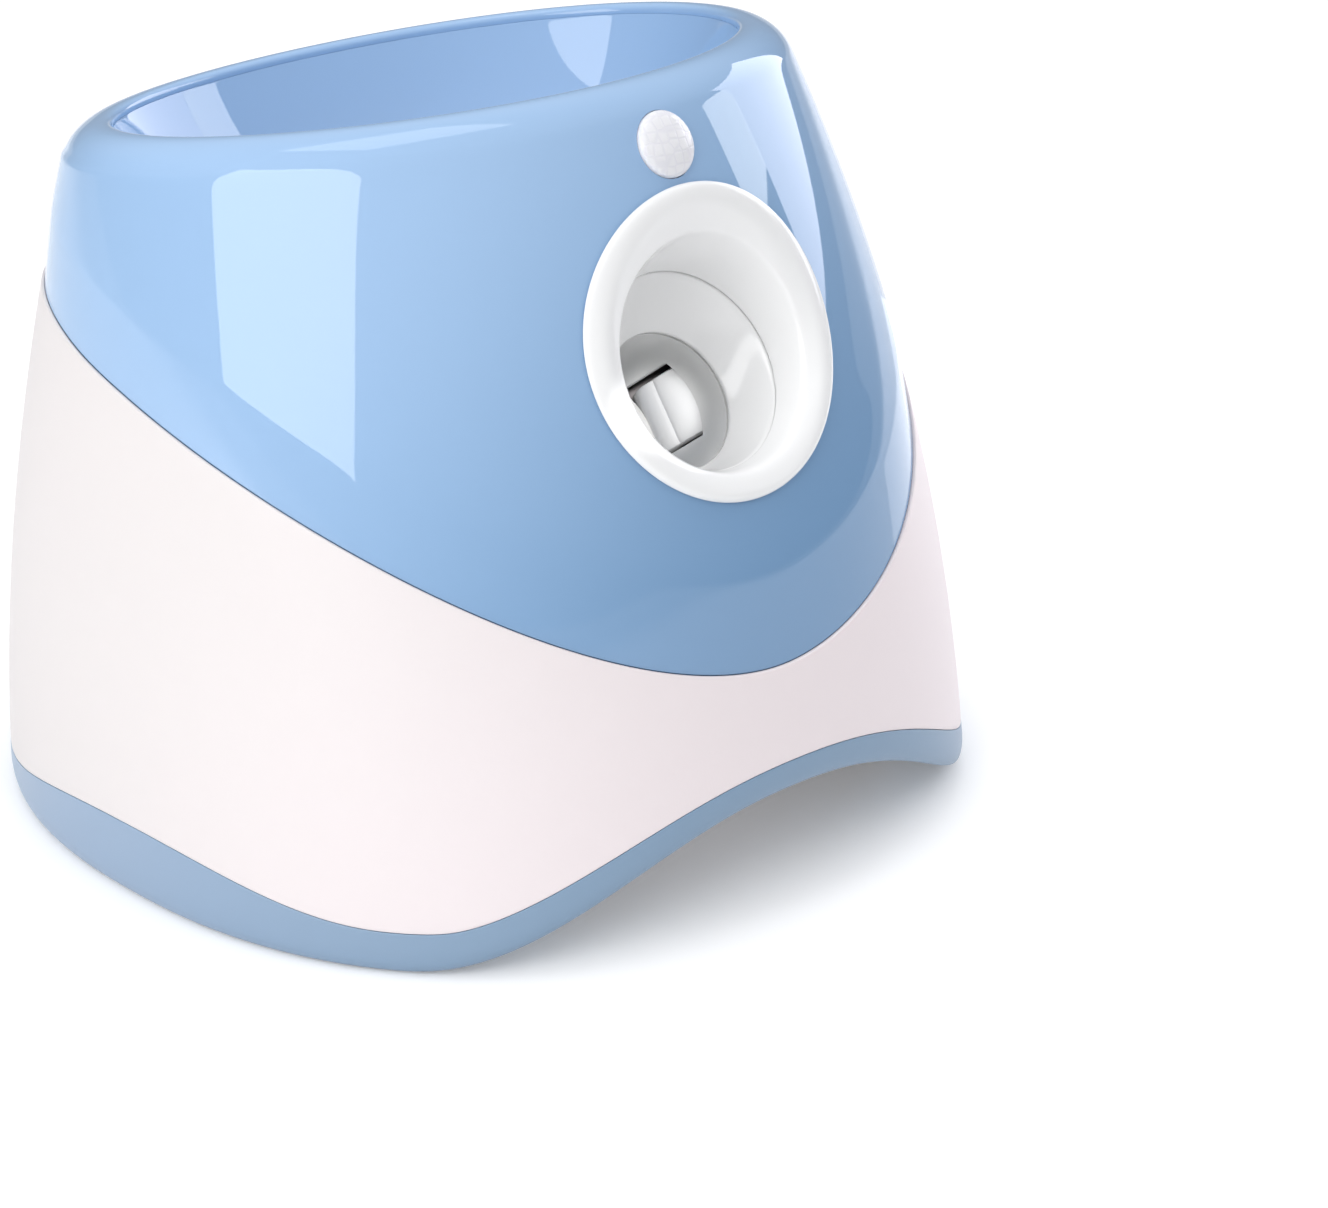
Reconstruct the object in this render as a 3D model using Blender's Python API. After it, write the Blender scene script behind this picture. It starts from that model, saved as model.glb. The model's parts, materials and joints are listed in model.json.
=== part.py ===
"""Automatic dog ball launcher: a hopper on top, two spinning wheels inside, a muzzle in front.

Metres, +Z up, the muzzle looks along -Y. The origin is on the ground, under the middle of the body.
Angles round the body are measured from the front (-Y) towards +X.
"""
import bmesh
import bpy
from math import atan2, copysign, cos, hypot, pi, radians, sin, tan
from mathutils import Matrix, Vector

# Body outline: half widths, front reach and rear reach at the ground, at mid height and at the rim
HALF_WIDTH_BASE = 0.17589
HALF_WIDTH_MID = 0.16910
HALF_WIDTH_RIM = 0.14257
FRONT_BASE = 0.17610
FRONT_MID = 0.14560
FRONT_RIM = 0.08466
REAR_BASE = 0.16970
REAR_MID = 0.15930
REAR_RIM = 0.13089
RIM_HEIGHT = 0.27139
RIM_TILT = radians(9.67)
BASE_SQUARENESS_share = 2.30
RIM_SQUARENESS_share = 2.0
EGG_BASE = -0.00184
EGG_RIM = 0.00720
BODY_COLUMNS = 52

# Walls, running gaps and overlaps shared by the mouldings
WALL = 0.0025
FIT = 0.0003
TONGUE = 0.005
CUT_OVERRUN = 0.004
FILLET = 0.001

# Rolled rim of the upper shell
RIM_RADIUS = 0.011
RIM_FLAT = 0.0015
RIM_INNER_RADIUS = 0.004

# Lower edge of the blue upper shell: low at the front, high at the rear
BIB_FRONT_HEIGHT = 0.08176
BIB_REAR_HEIGHT = 0.21349
BIB_SWEEP_share = 1.365
BIB_POWER_share = 0.772
BIB_STEP = 0.0012
CREASE_HEIGHT = 0.030
CREASE_BULGE = 0.0010
CREASE_FADE = 0.028

# Blue trim band round the foot and the arches between the feet
FRONT_ARCH_HEIGHT = 0.04062
REAR_ARCH_HEIGHT = 0.0290
ARCH_SPREAD = radians(50.5)
ARCH_POWER_share = 0.953
TRIM_HEIGHT = 0.01505
TRIM_FRONT_RISE = 0.03600
TRIM_FRONT_SPREAD = radians(46.3)
TRIM_POWER_share = 0.740
TRIM_SIDE_RISE = 0.01418
TRIM_SIDE_SPREAD = radians(37.5)
TRIM_REAR_RISE = 0.01932
FOOT_EDGE_RADIUS = 0.0089
FOOT_EDGE_TUCK = 0.0035
FOOT_EDGE_share = 0.8
GROUND_GAP = 0.0008
FLANGE_RISE = 0.003
FLANGE_WIDTH = 0.030
LEDGE_WIDTH = 0.003

# Floor plate, battery bay and rubber feet
FLOOR_HEIGHT = 0.052
FLOOR_THICKNESS = 0.003
FOOT_PAD_RADIUS = 0.011
FOOT_PAD_INSET = 0.019
FOOT_PAD_ANGLES = (radians(62.0), radians(118.0))
CELL_RADIUS = 0.0131
CELL_LENGTH = 0.050
CELL_NUB_RADIUS = 0.003
CELL_NUB_LENGTH = 0.0012
CELL_GAP = 0.0004
BAY_CENTRE_Y = 0.070
BAY_WALL = 0.002
BAY_END_ROOM = 0.0012
DOOR_THICKNESS = 0.0022
DOOR_MARGIN = 0.010

# The ball it takes and the room round it
BALL_RADIUS = 0.025
BARREL_ROOM = 0.001
FEED_ROOM = 0.0015

# Muzzle ring and the funnel behind it
RING_CENTRE_HEIGHT = 0.1999
RING_SINK = 0.0073
RING_TILT = radians(22.5)
RING_RADIUS = 0.057
RING_EDGE_HEIGHT = 0.0022
RING_CROWN = 0.0016
RING_EDGE_ROUND = 0.0022
LIP_RADIUS = 0.0417
LIP_ROUND = 0.0024
LIP_ADVANCE = 0.0013
LIP_DROP = 0.0042
RING_COLLAR_RADIUS = 0.0475
RING_HOLE_RADIUS = 0.0485
RING_COLLAR_DEPTH = 0.006
RING_COLUMNS = 36
LAUNCH_TILT = radians(37.0)
DISC_RADIUS = 0.0373
DISC_RECESS = 0.0149
DISC_DROP = 0.0089
THROAT_RADIUS = BALL_RADIUS + BARREL_ROOM
THROAT_RECESS = 0.0285
THROAT_DROP = 0.0180
FUNNEL_WALL = 0.002

# Barrel and feed tube
BARREL_RADIUS = THROAT_RADIUS
BARREL_WALL = 0.0025
BARREL_LENGTH = 0.092
FEED_DEPTH = 0.062
FEED_RADIUS = BALL_RADIUS + FEED_ROOM
FEED_WALL = 0.002
FEED_TOP_RISE = 0.047
PUSHER_SLOT_WIDTH = 0.013
PUSHER_SLOT_START = 0.056

# Launch wheels and their motors: axles square to the barrel
WHEEL_DEPTH = 0.033
WHEEL_RISE = 0.0017
WHEEL_RADIUS = 0.034
WHEEL_WIDTH = 0.026
WHEEL_PROTRUSION = 0.0025
WHEEL_LOBES = 12
WHEEL_LOBE_HEIGHT = 0.0012
LOBE_SWELL_shares = (0.0, 0.7, 1.0, 0.7)
WHEEL_WEB = 0.008
WHEEL_RIM_WALL = 0.005
WHEEL_HUB_RADIUS = 0.006
WHEEL_SLOT_GAP = 0.0017
WHEEL_SLOT_END_GAP = 0.003
SHAFT_RADIUS = 0.0015
SHAFT_ENTRY = 0.006
MOTOR_RADIUS = 0.014
MOTOR_LENGTH = 0.038
MOTOR_NOSE_RADIUS = 0.005
MOTOR_NOSE_LENGTH = 0.0025
MOTOR_TAIL_RADIUS = 0.0045
MOTOR_TAIL_LENGTH = 0.0022
MOTOR_CRIMP = 0.0012

# Stands and brackets that carry the barrel and the motors on the floor plate
PLATE = 0.003
STAND_SPREAD = 0.018
STAND_FRONT_DEPTH = 0.008
STAND_REAR_DEPTH = 0.088
STAND_FOOT_FRONT_Y = -0.120
STAND_FOOT_REAR_Y = -0.050
BRACKET_HALF_DEPTH = 0.019
BRACKET_REACH = 0.0225
BRACKET_FOOT_LENGTH = 0.042
FOOT_FLANGE_WIDTH = 0.012
STAND_FLANGE_LENGTH = 0.034
SCREW_RADIUS = 0.0015
SCREW_HEAD_RADIUS = 0.0028
SCREW_HEAD_HEIGHT = 0.002

# Feed pusher, its shaft, sector gear, pinion and geared motor
PUSHER_DEPTH = 0.076
PUSHER_DROP = 0.050
PUSHER_PAD_DEPTH = 0.0875
PUSHER_PAD_RADIUS = 0.0155
PUSHER_PAD_THICKNESS = 0.003
PUSHER_ARM_WIDTH = 0.008
PUSHER_ARM_THICKNESS = 0.007
PUSHER_HUB_RADIUS = 0.0075
PUSHER_SHAFT_RADIUS = 0.003
GEAR_MODULE = 0.0015
SECTOR_TEETH = 40
SECTOR_CUT_TEETH = 7
SECTOR_LEAD_TEETH = 1
PINION_TEETH = 12
GEAR_WIDTH = 0.005
GEAR_BACKLASH = 0.00045
ADDENDUM_share = 0.9
DEDENDUM_share = 1.3
PRESSURE_ANGLE = radians(20.0)
SECTOR_HUB_RADIUS = 0.008
PINION_DIRECTION = radians(-10.0)
PINION_SHAFT_RADIUS = 0.002
FEED_MOTOR_WIDTH = 0.026
FEED_MOTOR_LENGTH = 0.030
FEED_MOTOR_BEVEL = 0.002

# Hopper bowl
BOWL_WALL = 0.0022
BOWL_DEPTH_shares = (0.0, 0.16, 0.42, 0.66, 0.86, 1.0)
BOWL_REACH_shares = (0.0, 0.055, 0.165, 0.370, 0.730, 1.0)
BOWL_COLUMNS = 36

# Motion sensor lens and its board
LENS_HEIGHT = 0.2508
LENS_RADIUS = 0.0125
LENS_HOLE_RADIUS = 0.0129
LENS_DOME = 0.0042
LENS_WALL = 0.0010
LENS_SKIRT = 0.0042
LENS_FLANGE_RADIUS = 0.0150
LENS_FLANGE = 0.0012
SENSOR_BOARD_RADIUS = 0.0165
SENSOR_BOARD_THICKNESS = 0.0016
SENSOR_CAN_RADIUS = 0.0046
SENSOR_CAN_HEIGHT = 0.0035

# Control panel at the rear
PANEL_HEIGHT = 0.115
PANEL_WIDTH = 0.064
PANEL_TALL = 0.032
PANEL_THICKNESS = 0.006
PANEL_PROUD = 0.0006
PANEL_CORNER = 0.006
POWER_BUTTON_RADIUS = 0.0065
RANGE_BUTTON_RADIUS = 0.005
BUTTON_GAP = 0.0004
BUTTON_PROUD = 0.0026
BUTTON_LENGTH = 0.0100
BUTTON_STEP = 0.0012
BUTTON_TRAVEL = 0.0015
SOCKET_RADIUS = 0.004
SOCKET_BORE_RADIUS = 0.0028
SOCKET_PIN_RADIUS = 0.001
SOCKET_DEPTH = 0.009
SOCKET_LENGTH = 0.012
LED_RADIUS = 0.0015
LED_LENGTH = 0.010
LED_COUNT = 3
LED_PITCH = 0.007
LED_RISE = 0.010
CONTROL_ROW_DROP = 0.003
POWER_BUTTON_X = -0.019
RANGE_BUTTON_X = 0.0
SOCKET_X = 0.019
PANEL_PILLAR_X = 0.0275
PANEL_PILLAR_RISE = 0.011
PILLAR_RADIUS = 0.0028
PILLAR_LENGTH = 0.0075
BOARD_THICKNESS = 0.0016
SWITCH_RADIUS = 0.003

# Small turned pieces
BARREL_SEGMENTS = 32
FINE_SEGMENTS = 20
SEGMENTS = 16
SMALL_SEGMENTS = 10

ABS_BLUE = (0.36, 0.57, 0.80, 1.0)
ABS_BLUE_DEEP = (0.30, 0.47, 0.68, 1.0)
ABS_WHITE = (0.90, 0.86, 0.86, 1.0)
ABS_BRIGHT = (0.88, 0.88, 0.88, 1.0)
ABS_GREY = (0.62, 0.62, 0.63, 1.0)
LENS_MILK = (0.80, 0.78, 0.86, 1.0)
RUBBER_DARK = (0.05, 0.05, 0.055, 1.0)
STEEL = (0.62, 0.62, 0.64, 1.0)
BOARD_GREEN = (0.03, 0.20, 0.09, 1.0)
NYLON = (0.80, 0.78, 0.72, 1.0)
CELL_BLACK = (0.06, 0.06, 0.07, 1.0)
LED_GREEN = (0.15, 0.75, 0.25, 1.0)


def clear_scene():
    """Start from an empty scene."""
    for obj in list(bpy.data.objects):
        bpy.data.objects.remove(obj, do_unlink=True)


def finish(name, colour, roughness, metallic=0.0):
    """One Principled material for one sub-part."""
    material = bpy.data.materials.new(name + "_finish")
    material.use_nodes = True
    shader = material.node_tree.nodes["Principled BSDF"]
    shader.inputs["Base Color"].default_value = colour
    shader.inputs["Roughness"].default_value = roughness
    shader.inputs["Metallic"].default_value = metallic
    return material


def add_object(name, mesh, colour, roughness=0.35, metallic=0.0):
    """Link a mesh as a named object with its own material, shaded smooth with sharp edges kept."""
    obj = bpy.data.objects.new(name, mesh)
    bpy.context.collection.objects.link(obj)
    mesh.materials.append(finish(name, colour, roughness, metallic))
    mesh.shade_smooth()
    mesh.set_sharp_from_angle(angle=radians(35.0))
    return obj


def to_mesh(name, work):
    """Turn a bmesh into a mesh whose faces point out."""
    bmesh.ops.recalc_face_normals(work, faces=work.faces)
    if work.calc_volume(signed=True) < 0:
        bmesh.ops.reverse_faces(work, faces=work.faces)
    mesh = bpy.data.meshes.new(name)
    work.to_mesh(mesh)
    work.free()
    return mesh


def ring_mesh(name, columns):
    """A ring-shaped solid: each column is one closed section, joined to the next all the way round."""
    work = bmesh.new()
    rows = [[work.verts.new(point) for point in column] for column in columns]
    for here, after in zip(rows, rows[1:] + rows[:1]):
        for k in range(len(here)):
            n = (k + 1) % len(here)
            work.faces.new((here[k], here[n], after[n], after[k]))
    return to_mesh(name, work)


def stack_mesh(name, loops):
    """A solid skinned over a stack of loops, with its two ends closed."""
    work = bmesh.new()
    rows = [[work.verts.new(point) for point in loop] for loop in loops]
    for here, after in zip(rows, rows[1:]):
        for k in range(len(here)):
            n = (k + 1) % len(here)
            work.faces.new((here[k], here[n], after[n], after[k]))
    work.faces.new(rows[0])
    work.faces.new(rows[-1])
    return to_mesh(name, work)


def turned_mesh(name, profile, place, segments=SEGMENTS):
    """A solid turned about the local Z axis from (radius, height) points, bottom to top."""
    loops = []
    for radius, height in profile:
        loops.append([place @ Vector((radius * cos(2 * pi * k / segments),
                                      radius * sin(2 * pi * k / segments), height))
                      for k in range(segments)])
    return stack_mesh(name, loops)


def turned_ring_mesh(name, profile, place, segments=SEGMENTS):
    """A turned ring from a closed section of (radius, height) points."""
    columns = []
    for k in range(segments):
        angle = 2 * pi * k / segments
        columns.append([place @ Vector((radius * cos(angle), radius * sin(angle), height))
                        for radius, height in profile])
    return ring_mesh(name, columns)


def prism_mesh(name, outline, low, high, place):
    """A flat outline in local X and Y, extruded from low to high along local Z."""
    loops = [[place @ Vector((x, y, height)) for x, y in outline] for height in (low, high)]
    return stack_mesh(name, loops)


def box_mesh(name, size, place):
    """A box centred on its place."""
    half_x, half_y, half_z = (length / 2 for length in size)
    outline = ((-half_x, -half_y), (half_x, -half_y), (half_x, half_y), (-half_x, half_y))
    return prism_mesh(name, outline, -half_z, half_z, place)


def cutter(name, mesh):
    """A hidden guide solid for a Boolean."""
    obj = bpy.data.objects.new(name, mesh)
    bpy.context.collection.objects.link(obj)
    obj.hide_render = True
    obj.display_type = 'WIRE'
    return obj


def combine(obj, mesh, operation):
    """Cut one solid from an object, or weld one to it."""
    tool = cutter(f"{obj.name}_tool_{len(obj.modifiers)}", mesh)
    modifier = obj.modifiers.new(tool.name, 'BOOLEAN')
    modifier.operation = operation
    modifier.solver = 'EXACT'
    modifier.object = tool


def cut(obj, mesh):
    combine(obj, mesh, 'DIFFERENCE')


def weld(obj, mesh):
    combine(obj, mesh, 'UNION')


def bevel_edges(obj, width, segments=2):
    """Round the edges of a solid a little."""
    modifier = obj.modifiers.new("edge_round", 'BEVEL')
    modifier.width = width
    modifier.segments = segments
    modifier.limit_method = 'ANGLE'


def set_origin(obj, point):
    """Put an object's origin on its joint axis, with its shape left in place."""
    obj.data.transform(Matrix.Translation(-point))
    obj.location = point


def smooth_step(share):
    share = min(max(share, 0.0), 1.0)
    return share * share * (3 - 2 * share)


def bump(angle, centre, spread, power):
    """A smooth hill of height one, spread either side of its centre."""
    away = abs((angle - centre + pi) % (2 * pi) - pi)
    return (0.5 + 0.5 * cos(pi * min(away / spread, 1.0))) ** power


def blend(base, mid, rim, level):
    """The quadratic through three sizes: at level 0, one half and 1."""
    return (base * (1 - level) * (1 - 2 * level) + 4 * mid * level * (1 - level)
            + rim * level * (2 * level - 1))


def plan_sizes(level, inset):
    """Half width, front reach, rear reach, squareness and egg shift of the body at a level."""
    half = blend(HALF_WIDTH_BASE, HALF_WIDTH_MID, HALF_WIDTH_RIM, level) - inset
    front = blend(FRONT_BASE, FRONT_MID, FRONT_RIM, level) - inset
    rear = blend(REAR_BASE, REAR_MID, REAR_RIM, level) - inset
    square = BASE_SQUARENESS_share * (1 - level) + RIM_SQUARENESS_share * level
    egg = EGG_BASE * (1 - level) + EGG_RIM * level
    return half, front, rear, square, egg


def body_point(level, angle, inset=0.0):
    """A point of the outer skin, or of a skin inset from it. Level 1 is the tilted rim plane."""
    half, front, rear, square, egg = plan_sizes(level, inset)
    across = copysign(abs(sin(angle)) ** (2 / square), sin(angle))
    along = copysign(abs(cos(angle)) ** (2 / square), cos(angle))
    x = half * across
    y = (rear - front) / 2 + egg - (rear + front) / 2 * along - egg * along ** 2
    return Vector((x, y, level * (RIM_HEIGHT - tan(RIM_TILT) * y)))


def at_rise(rise, angle, inset=0.0):
    """A skin point at a rise measured on the body's axis."""
    return body_point(rise / RIM_HEIGHT, angle, inset)


def at_height(height, angle, inset=0.0):
    """A skin point at a true height above the ground."""
    level = height / RIM_HEIGHT
    for _ in range(12):
        level = height / (RIM_HEIGHT - tan(RIM_TILT) * body_point(level, angle, inset).y)
    return body_point(level, angle, inset)


def bib_seam(angle):
    turn = min(abs((angle + pi) % (2 * pi) - pi) * BIB_SWEEP_share, pi)
    rise = ((1 - cos(turn)) / 2) ** BIB_POWER_share
    return BIB_FRONT_HEIGHT + (BIB_REAR_HEIGHT - BIB_FRONT_HEIGHT) * rise


def trim_seam(angle):
    side = bump(angle, pi / 2, TRIM_SIDE_SPREAD, 1) + bump(angle, -pi / 2, TRIM_SIDE_SPREAD, 1)
    return (TRIM_HEIGHT + TRIM_FRONT_RISE * bump(angle, 0, TRIM_FRONT_SPREAD, TRIM_POWER_share)
            + TRIM_SIDE_RISE * side + TRIM_REAR_RISE * bump(angle, pi, ARCH_SPREAD, 1))


def bottom_edge(angle):
    return (FRONT_ARCH_HEIGHT * bump(angle, 0, ARCH_SPREAD, ARCH_POWER_share)
            + REAR_ARCH_HEIGHT * bump(angle, pi, ARCH_SPREAD, 1))


def bib_inset(above):
    """How far the blue skin lies inside the body outline, by the distance above its lower edge."""
    if above < CREASE_HEIGHT:
        return BIB_STEP - (BIB_STEP + CREASE_BULGE) * above / CREASE_HEIGHT
    return -CREASE_BULGE * (1 - smooth_step((above - CREASE_HEIGHT) / CREASE_FADE))


def body_angles():
    return [2 * pi * k / BODY_COLUMNS for k in range(BODY_COLUMNS)]


def front_skin_y(x, height):
    """The outer skin's Y at the front, for a given X and height."""
    y = -FRONT_MID
    for _ in range(20):
        level = height / (RIM_HEIGHT - tan(RIM_TILT) * y)
        half, front, rear, square, egg = plan_sizes(level, 0.0)
        along = (1 - min(abs(x) / half, 1.0) ** square) ** (1 / square)
        y = (rear - front) / 2 + egg - (rear + front) / 2 * along - egg * along ** 2
    return y


def skin_frame(rise, angle):
    """A frame on the outer skin: local Z points out, local X runs level."""
    step = radians(0.5)
    origin = at_rise(rise, angle)
    level_way = (at_rise(rise, angle + step) - at_rise(rise, angle - step)).normalized()
    up_way = (at_rise(rise * (1 + step), angle) - at_rise(rise * (1 - step), angle)).normalized()
    out = level_way.cross(up_way).normalized()
    up_way = out.cross(level_way)
    return frame_from(origin, level_way, up_way, out)


def frame_from(origin, x_way, y_way, z_way):
    matrix = Matrix((x_way, y_way, z_way)).transposed().to_4x4()
    matrix.translation = origin
    return matrix


def tilted_frame(origin, tilt):
    """A frame whose Z looks forward and up by the tilt, whose Y looks up, and whose X is the body's X."""
    out = Vector((0, -cos(tilt), sin(tilt)))
    return frame_from(origin, Vector((1, 0, 0)), Vector((0, sin(tilt), cos(tilt))), out)


def ring_frame():
    height = RING_CENTRE_HEIGHT
    origin = Vector((0, front_skin_y(0, height) + RING_SINK, height))
    return tilted_frame(origin, RING_TILT)


def disc_frame():
    return tilted_frame(ring_frame() @ Vector((0, -DISC_DROP, -DISC_RECESS)), LAUNCH_TILT)


def throat_frame():
    return tilted_frame(ring_frame() @ Vector((0, -THROAT_DROP, -THROAT_RECESS)), LAUNCH_TILT)


def in_barrel(depth, rise=0.0, side=0.0):
    """A point by its depth behind the throat, its rise above the barrel's axis and its side."""
    return throat_frame() @ Vector((side, rise, -depth))


def across_frame(origin):
    """A frame whose Z is the way the wheel axles stand, square to the barrel."""
    up = Vector((0, sin(LAUNCH_TILT), cos(LAUNCH_TILT)))
    return frame_from(origin, Vector((1, 0, 0)), up.cross(Vector((1, 0, 0))), up)


def side_frame(x):
    """A frame whose Z is the body's X: local X is the body's Y and local Y is the body's Z."""
    return frame_from(Vector((x, 0, 0)), Vector((0, 1, 0)), Vector((0, 0, 1)), Vector((1, 0, 0)))


def arc(centre_x, centre_y, radius, start, end, steps):
    """Points of an arc, ends included."""
    return [(centre_x + radius * cos(start + (end - start) * k / steps),
             centre_y + radius * sin(start + (end - start) * k / steps)) for k in range(steps + 1)]


def rounded_outline(width, tall, corner, steps=3):
    points = []
    for turn, (x, y) in enumerate(((1, 1), (-1, 1), (-1, -1), (1, -1))):
        points += arc(x * (width / 2 - corner), y * (tall / 2 - corner), corner,
                      turn * pi / 2, (turn + 1) * pi / 2, steps)
    return points


def upper_shell_outside(angle, seam, above):
    """Outer side of the upper shell's section, from the seam over the rolled rim to its inner lip."""
    top = RIM_HEIGHT - RIM_RADIUS
    points = [at_rise(seam + rise, angle, bib_inset(rise)) for rise in above]
    for k in range(1, 5):
        turn = pi / 2 * k / 4
        points.append(at_rise(top + RIM_RADIUS * sin(turn), angle, RIM_RADIUS * (1 - cos(turn))))
    for k in range(3):
        turn = pi / 2 * k / 2
        points.append(at_rise(RIM_HEIGHT - RIM_INNER_RADIUS * (1 - cos(turn)), angle,
                              RIM_RADIUS + RIM_FLAT + RIM_INNER_RADIUS * sin(turn)))
    return points


def upper_shell_inside(angle, seam, above):
    """Inner side of the same section, from the lip down to the tongue behind the seam."""
    points = []
    small = RIM_INNER_RADIUS - BOWL_WALL
    for k in (2, 0):
        turn = pi / 2 * k / 2
        points.append(at_rise(RIM_HEIGHT - BOWL_WALL - small * (1 - cos(turn)), angle,
                              RIM_RADIUS + RIM_FLAT + small * sin(turn)))
    for k in (2, 1, 0):
        turn = pi / 2 * k / 2
        points.append(at_rise(RIM_HEIGHT - RIM_RADIUS + (RIM_RADIUS - WALL) * sin(turn), angle,
                              RIM_RADIUS - (RIM_RADIUS - WALL) * cos(turn)))
    for rise in reversed(above[2:-1:2]):
        points.append(at_rise(seam + rise, angle, bib_inset(rise) + WALL))
    behind = WALL + FIT
    tongue = ((TONGUE, behind + BOWL_WALL), (-TONGUE, behind + BOWL_WALL), (-TONGUE, behind), (0, behind))
    for rise, inset in tongue:
        points.append(at_rise(seam + rise, angle, inset))
    return points


def make_upper_shell():
    """Blue upper shell: bib at the front, rolled rim on top, holes for the muzzle and the lens."""
    columns = []
    for angle in body_angles():
        seam = bib_seam(angle)
        above = [0.0, CREASE_HEIGHT, CREASE_HEIGHT + CREASE_FADE / 2]
        first = above[-1]
        above += [first + (RIM_HEIGHT - RIM_RADIUS - seam - first) * k / 4 for k in range(1, 5)]
        columns.append(upper_shell_outside(angle, seam, above) + upper_shell_inside(angle, seam, above))
    shell = add_object("upper_shell", ring_mesh("upper_shell", columns), ABS_BLUE, 0.15)
    muzzle = ((RING_HOLE_RADIUS, -RING_RADIUS), (RING_HOLE_RADIUS, RING_RADIUS))
    cut(shell, turned_mesh("muzzle_hole", muzzle, ring_frame(), RING_COLUMNS))
    lens = ((LENS_HOLE_RADIUS, -LENS_RADIUS), (LENS_HOLE_RADIUS, LENS_RADIUS))
    cut(shell, turned_mesh("lens_hole", lens, lens_frame(), FINE_SEGMENTS))


def make_lower_shell():
    """White lower shell between the trim band and the bib, with the panel opening at the rear."""
    columns = []
    for angle in body_angles():
        low = trim_seam(angle) + FIT
        high = bib_seam(angle) - FIT
        rises = [low + (high - low - FILLET) * k / 4 for k in range(5)]
        outer = [at_rise(rise, angle) for rise in rises] + [at_rise(high, angle, FILLET / 2)]
        inner = [at_rise(high, angle, WALL)] + [at_rise(rise, angle, WALL) for rise in reversed(rises[:-1])]
        columns.append(outer + inner)
    shell = add_object("lower_shell", ring_mesh("lower_shell", columns), ABS_WHITE, 0.3)
    outline = rounded_outline(PANEL_WIDTH + 2 * FIT, PANEL_TALL + 2 * FIT, PANEL_CORNER + FIT)
    reach = 2 * PANEL_THICKNESS
    cut(shell, prism_mesh("panel_opening", outline, -reach, reach, panel_frame()))


def make_base_skirt():
    """Blue trim band with its arches, a flange for the feet and a ledge for the floor plate."""
    columns = []
    for angle in body_angles():
        seam = at_rise(trim_seam(angle), angle).z
        low = at_rise(bottom_edge(angle), angle).z + GROUND_GAP
        flange = low - GROUND_GAP + FLANGE_RISE
        corner = min(FOOT_EDGE_RADIUS, (seam - low) * FOOT_EDGE_share)
        outer = [at_height(seam, angle), at_height((seam + low + corner) / 2, angle)]
        for k in range(4):
            turn = pi / 2 * k / 3
            outer.append(at_height(low + corner * (1 - sin(turn)), angle, FOOT_EDGE_TUCK * (1 - cos(turn))))
        lip = FOOT_EDGE_TUCK + WALL
        ledge = WALL + FIT + BOWL_WALL
        ledge_low = FLOOR_HEIGHT - FIT
        top = max(at_rise(trim_seam(angle) + TONGUE, angle).z, FLOOR_HEIGHT + FLOOR_THICKNESS)
        inner = [at_height(low, angle, lip), at_height(flange, angle, lip + FILLET / 2),
                 at_height(flange, angle, FLANGE_WIDTH), at_height(flange + WALL, angle, FLANGE_WIDTH),
                 at_height(flange + WALL, angle, ledge + LEDGE_WIDTH),
                 at_height(ledge_low, angle, ledge + LEDGE_WIDTH), at_height(ledge_low, angle, ledge),
                 at_height(top, angle, ledge), at_height(top, angle, WALL + FIT),
                 at_height(seam, angle, WALL + FIT)]
        columns.append(outer + inner)
    add_object("base_skirt", ring_mesh("base_skirt", columns), ABS_BLUE_DEEP, 0.3)


def bay_size():
    """Inside length and width of the battery bay."""
    length = 2 * CELL_LENGTH + 2 * CELL_NUB_LENGTH + 2 * BAY_END_ROOM
    width = 3 * 2 * CELL_RADIUS + 4 * CELL_GAP
    return length, width


def make_floor_plate():
    """Floor plate on the skirt's ledge, with the battery bay's opening."""
    inset = WALL + FIT + BOWL_WALL + FIT
    loops = [[at_height(height, angle, inset) for angle in body_angles()]
             for height in (FLOOR_HEIGHT, FLOOR_HEIGHT + FLOOR_THICKNESS)]
    plate = add_object("floor_plate", stack_mesh("floor_plate", loops), ABS_WHITE, 0.5)
    length, width = bay_size()
    place = Matrix.Translation((0, BAY_CENTRE_Y, FLOOR_HEIGHT))
    cut(plate, box_mesh("bay_opening", (length, width, 4 * FLOOR_THICKNESS), place))
    for spot in flange_screw_places() + [door_screw_place()]:
        drill_floor(plate, spot)


def drill_floor(obj, spot):
    """An upright screw hole through what lies on or under the floor plate."""
    radius = SCREW_RADIUS + FIT
    profile = ((radius, -2 * FLOOR_THICKNESS), (radius, 4 * FLOOR_THICKNESS))
    place = Matrix.Translation((*spot, FLOOR_HEIGHT))
    cut(obj, turned_mesh("screw_hole", profile, place, SMALL_SEGMENTS))


def foot_centre(angle):
    point = at_height(FLANGE_RISE, angle, FOOT_PAD_INSET)
    return Vector((point.x, point.y, 0))


def make_feet():
    """Four rubber pads under the flange."""
    high = FLANGE_RISE - FIT
    profile = ((FOOT_PAD_RADIUS - FILLET, 0), (FOOT_PAD_RADIUS, FILLET), (FOOT_PAD_RADIUS, high))
    names = ("foot_front_right", "foot_rear_right", "foot_front_left", "foot_rear_left")
    angles = FOOT_PAD_ANGLES + tuple(-angle for angle in FOOT_PAD_ANGLES)
    for name, angle in zip(names, angles):
        place = Matrix.Translation(foot_centre(angle))
        add_object(name, turned_mesh(name, profile, place, SEGMENTS), RUBBER_DARK, 0.8)


def ring_skin(radius, turn):
    """Height of the outer skin over the ring's plane, along the ring's axis."""
    frame = ring_frame()
    low, high = -RING_RADIUS, RING_RADIUS
    for _ in range(40):
        middle = (low + high) / 2
        point = frame @ Vector((radius * cos(turn), radius * sin(turn), middle))
        if point.y < front_skin_y(point.x, point.z):
            high = middle
        else:
            low = middle
    return low


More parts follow.
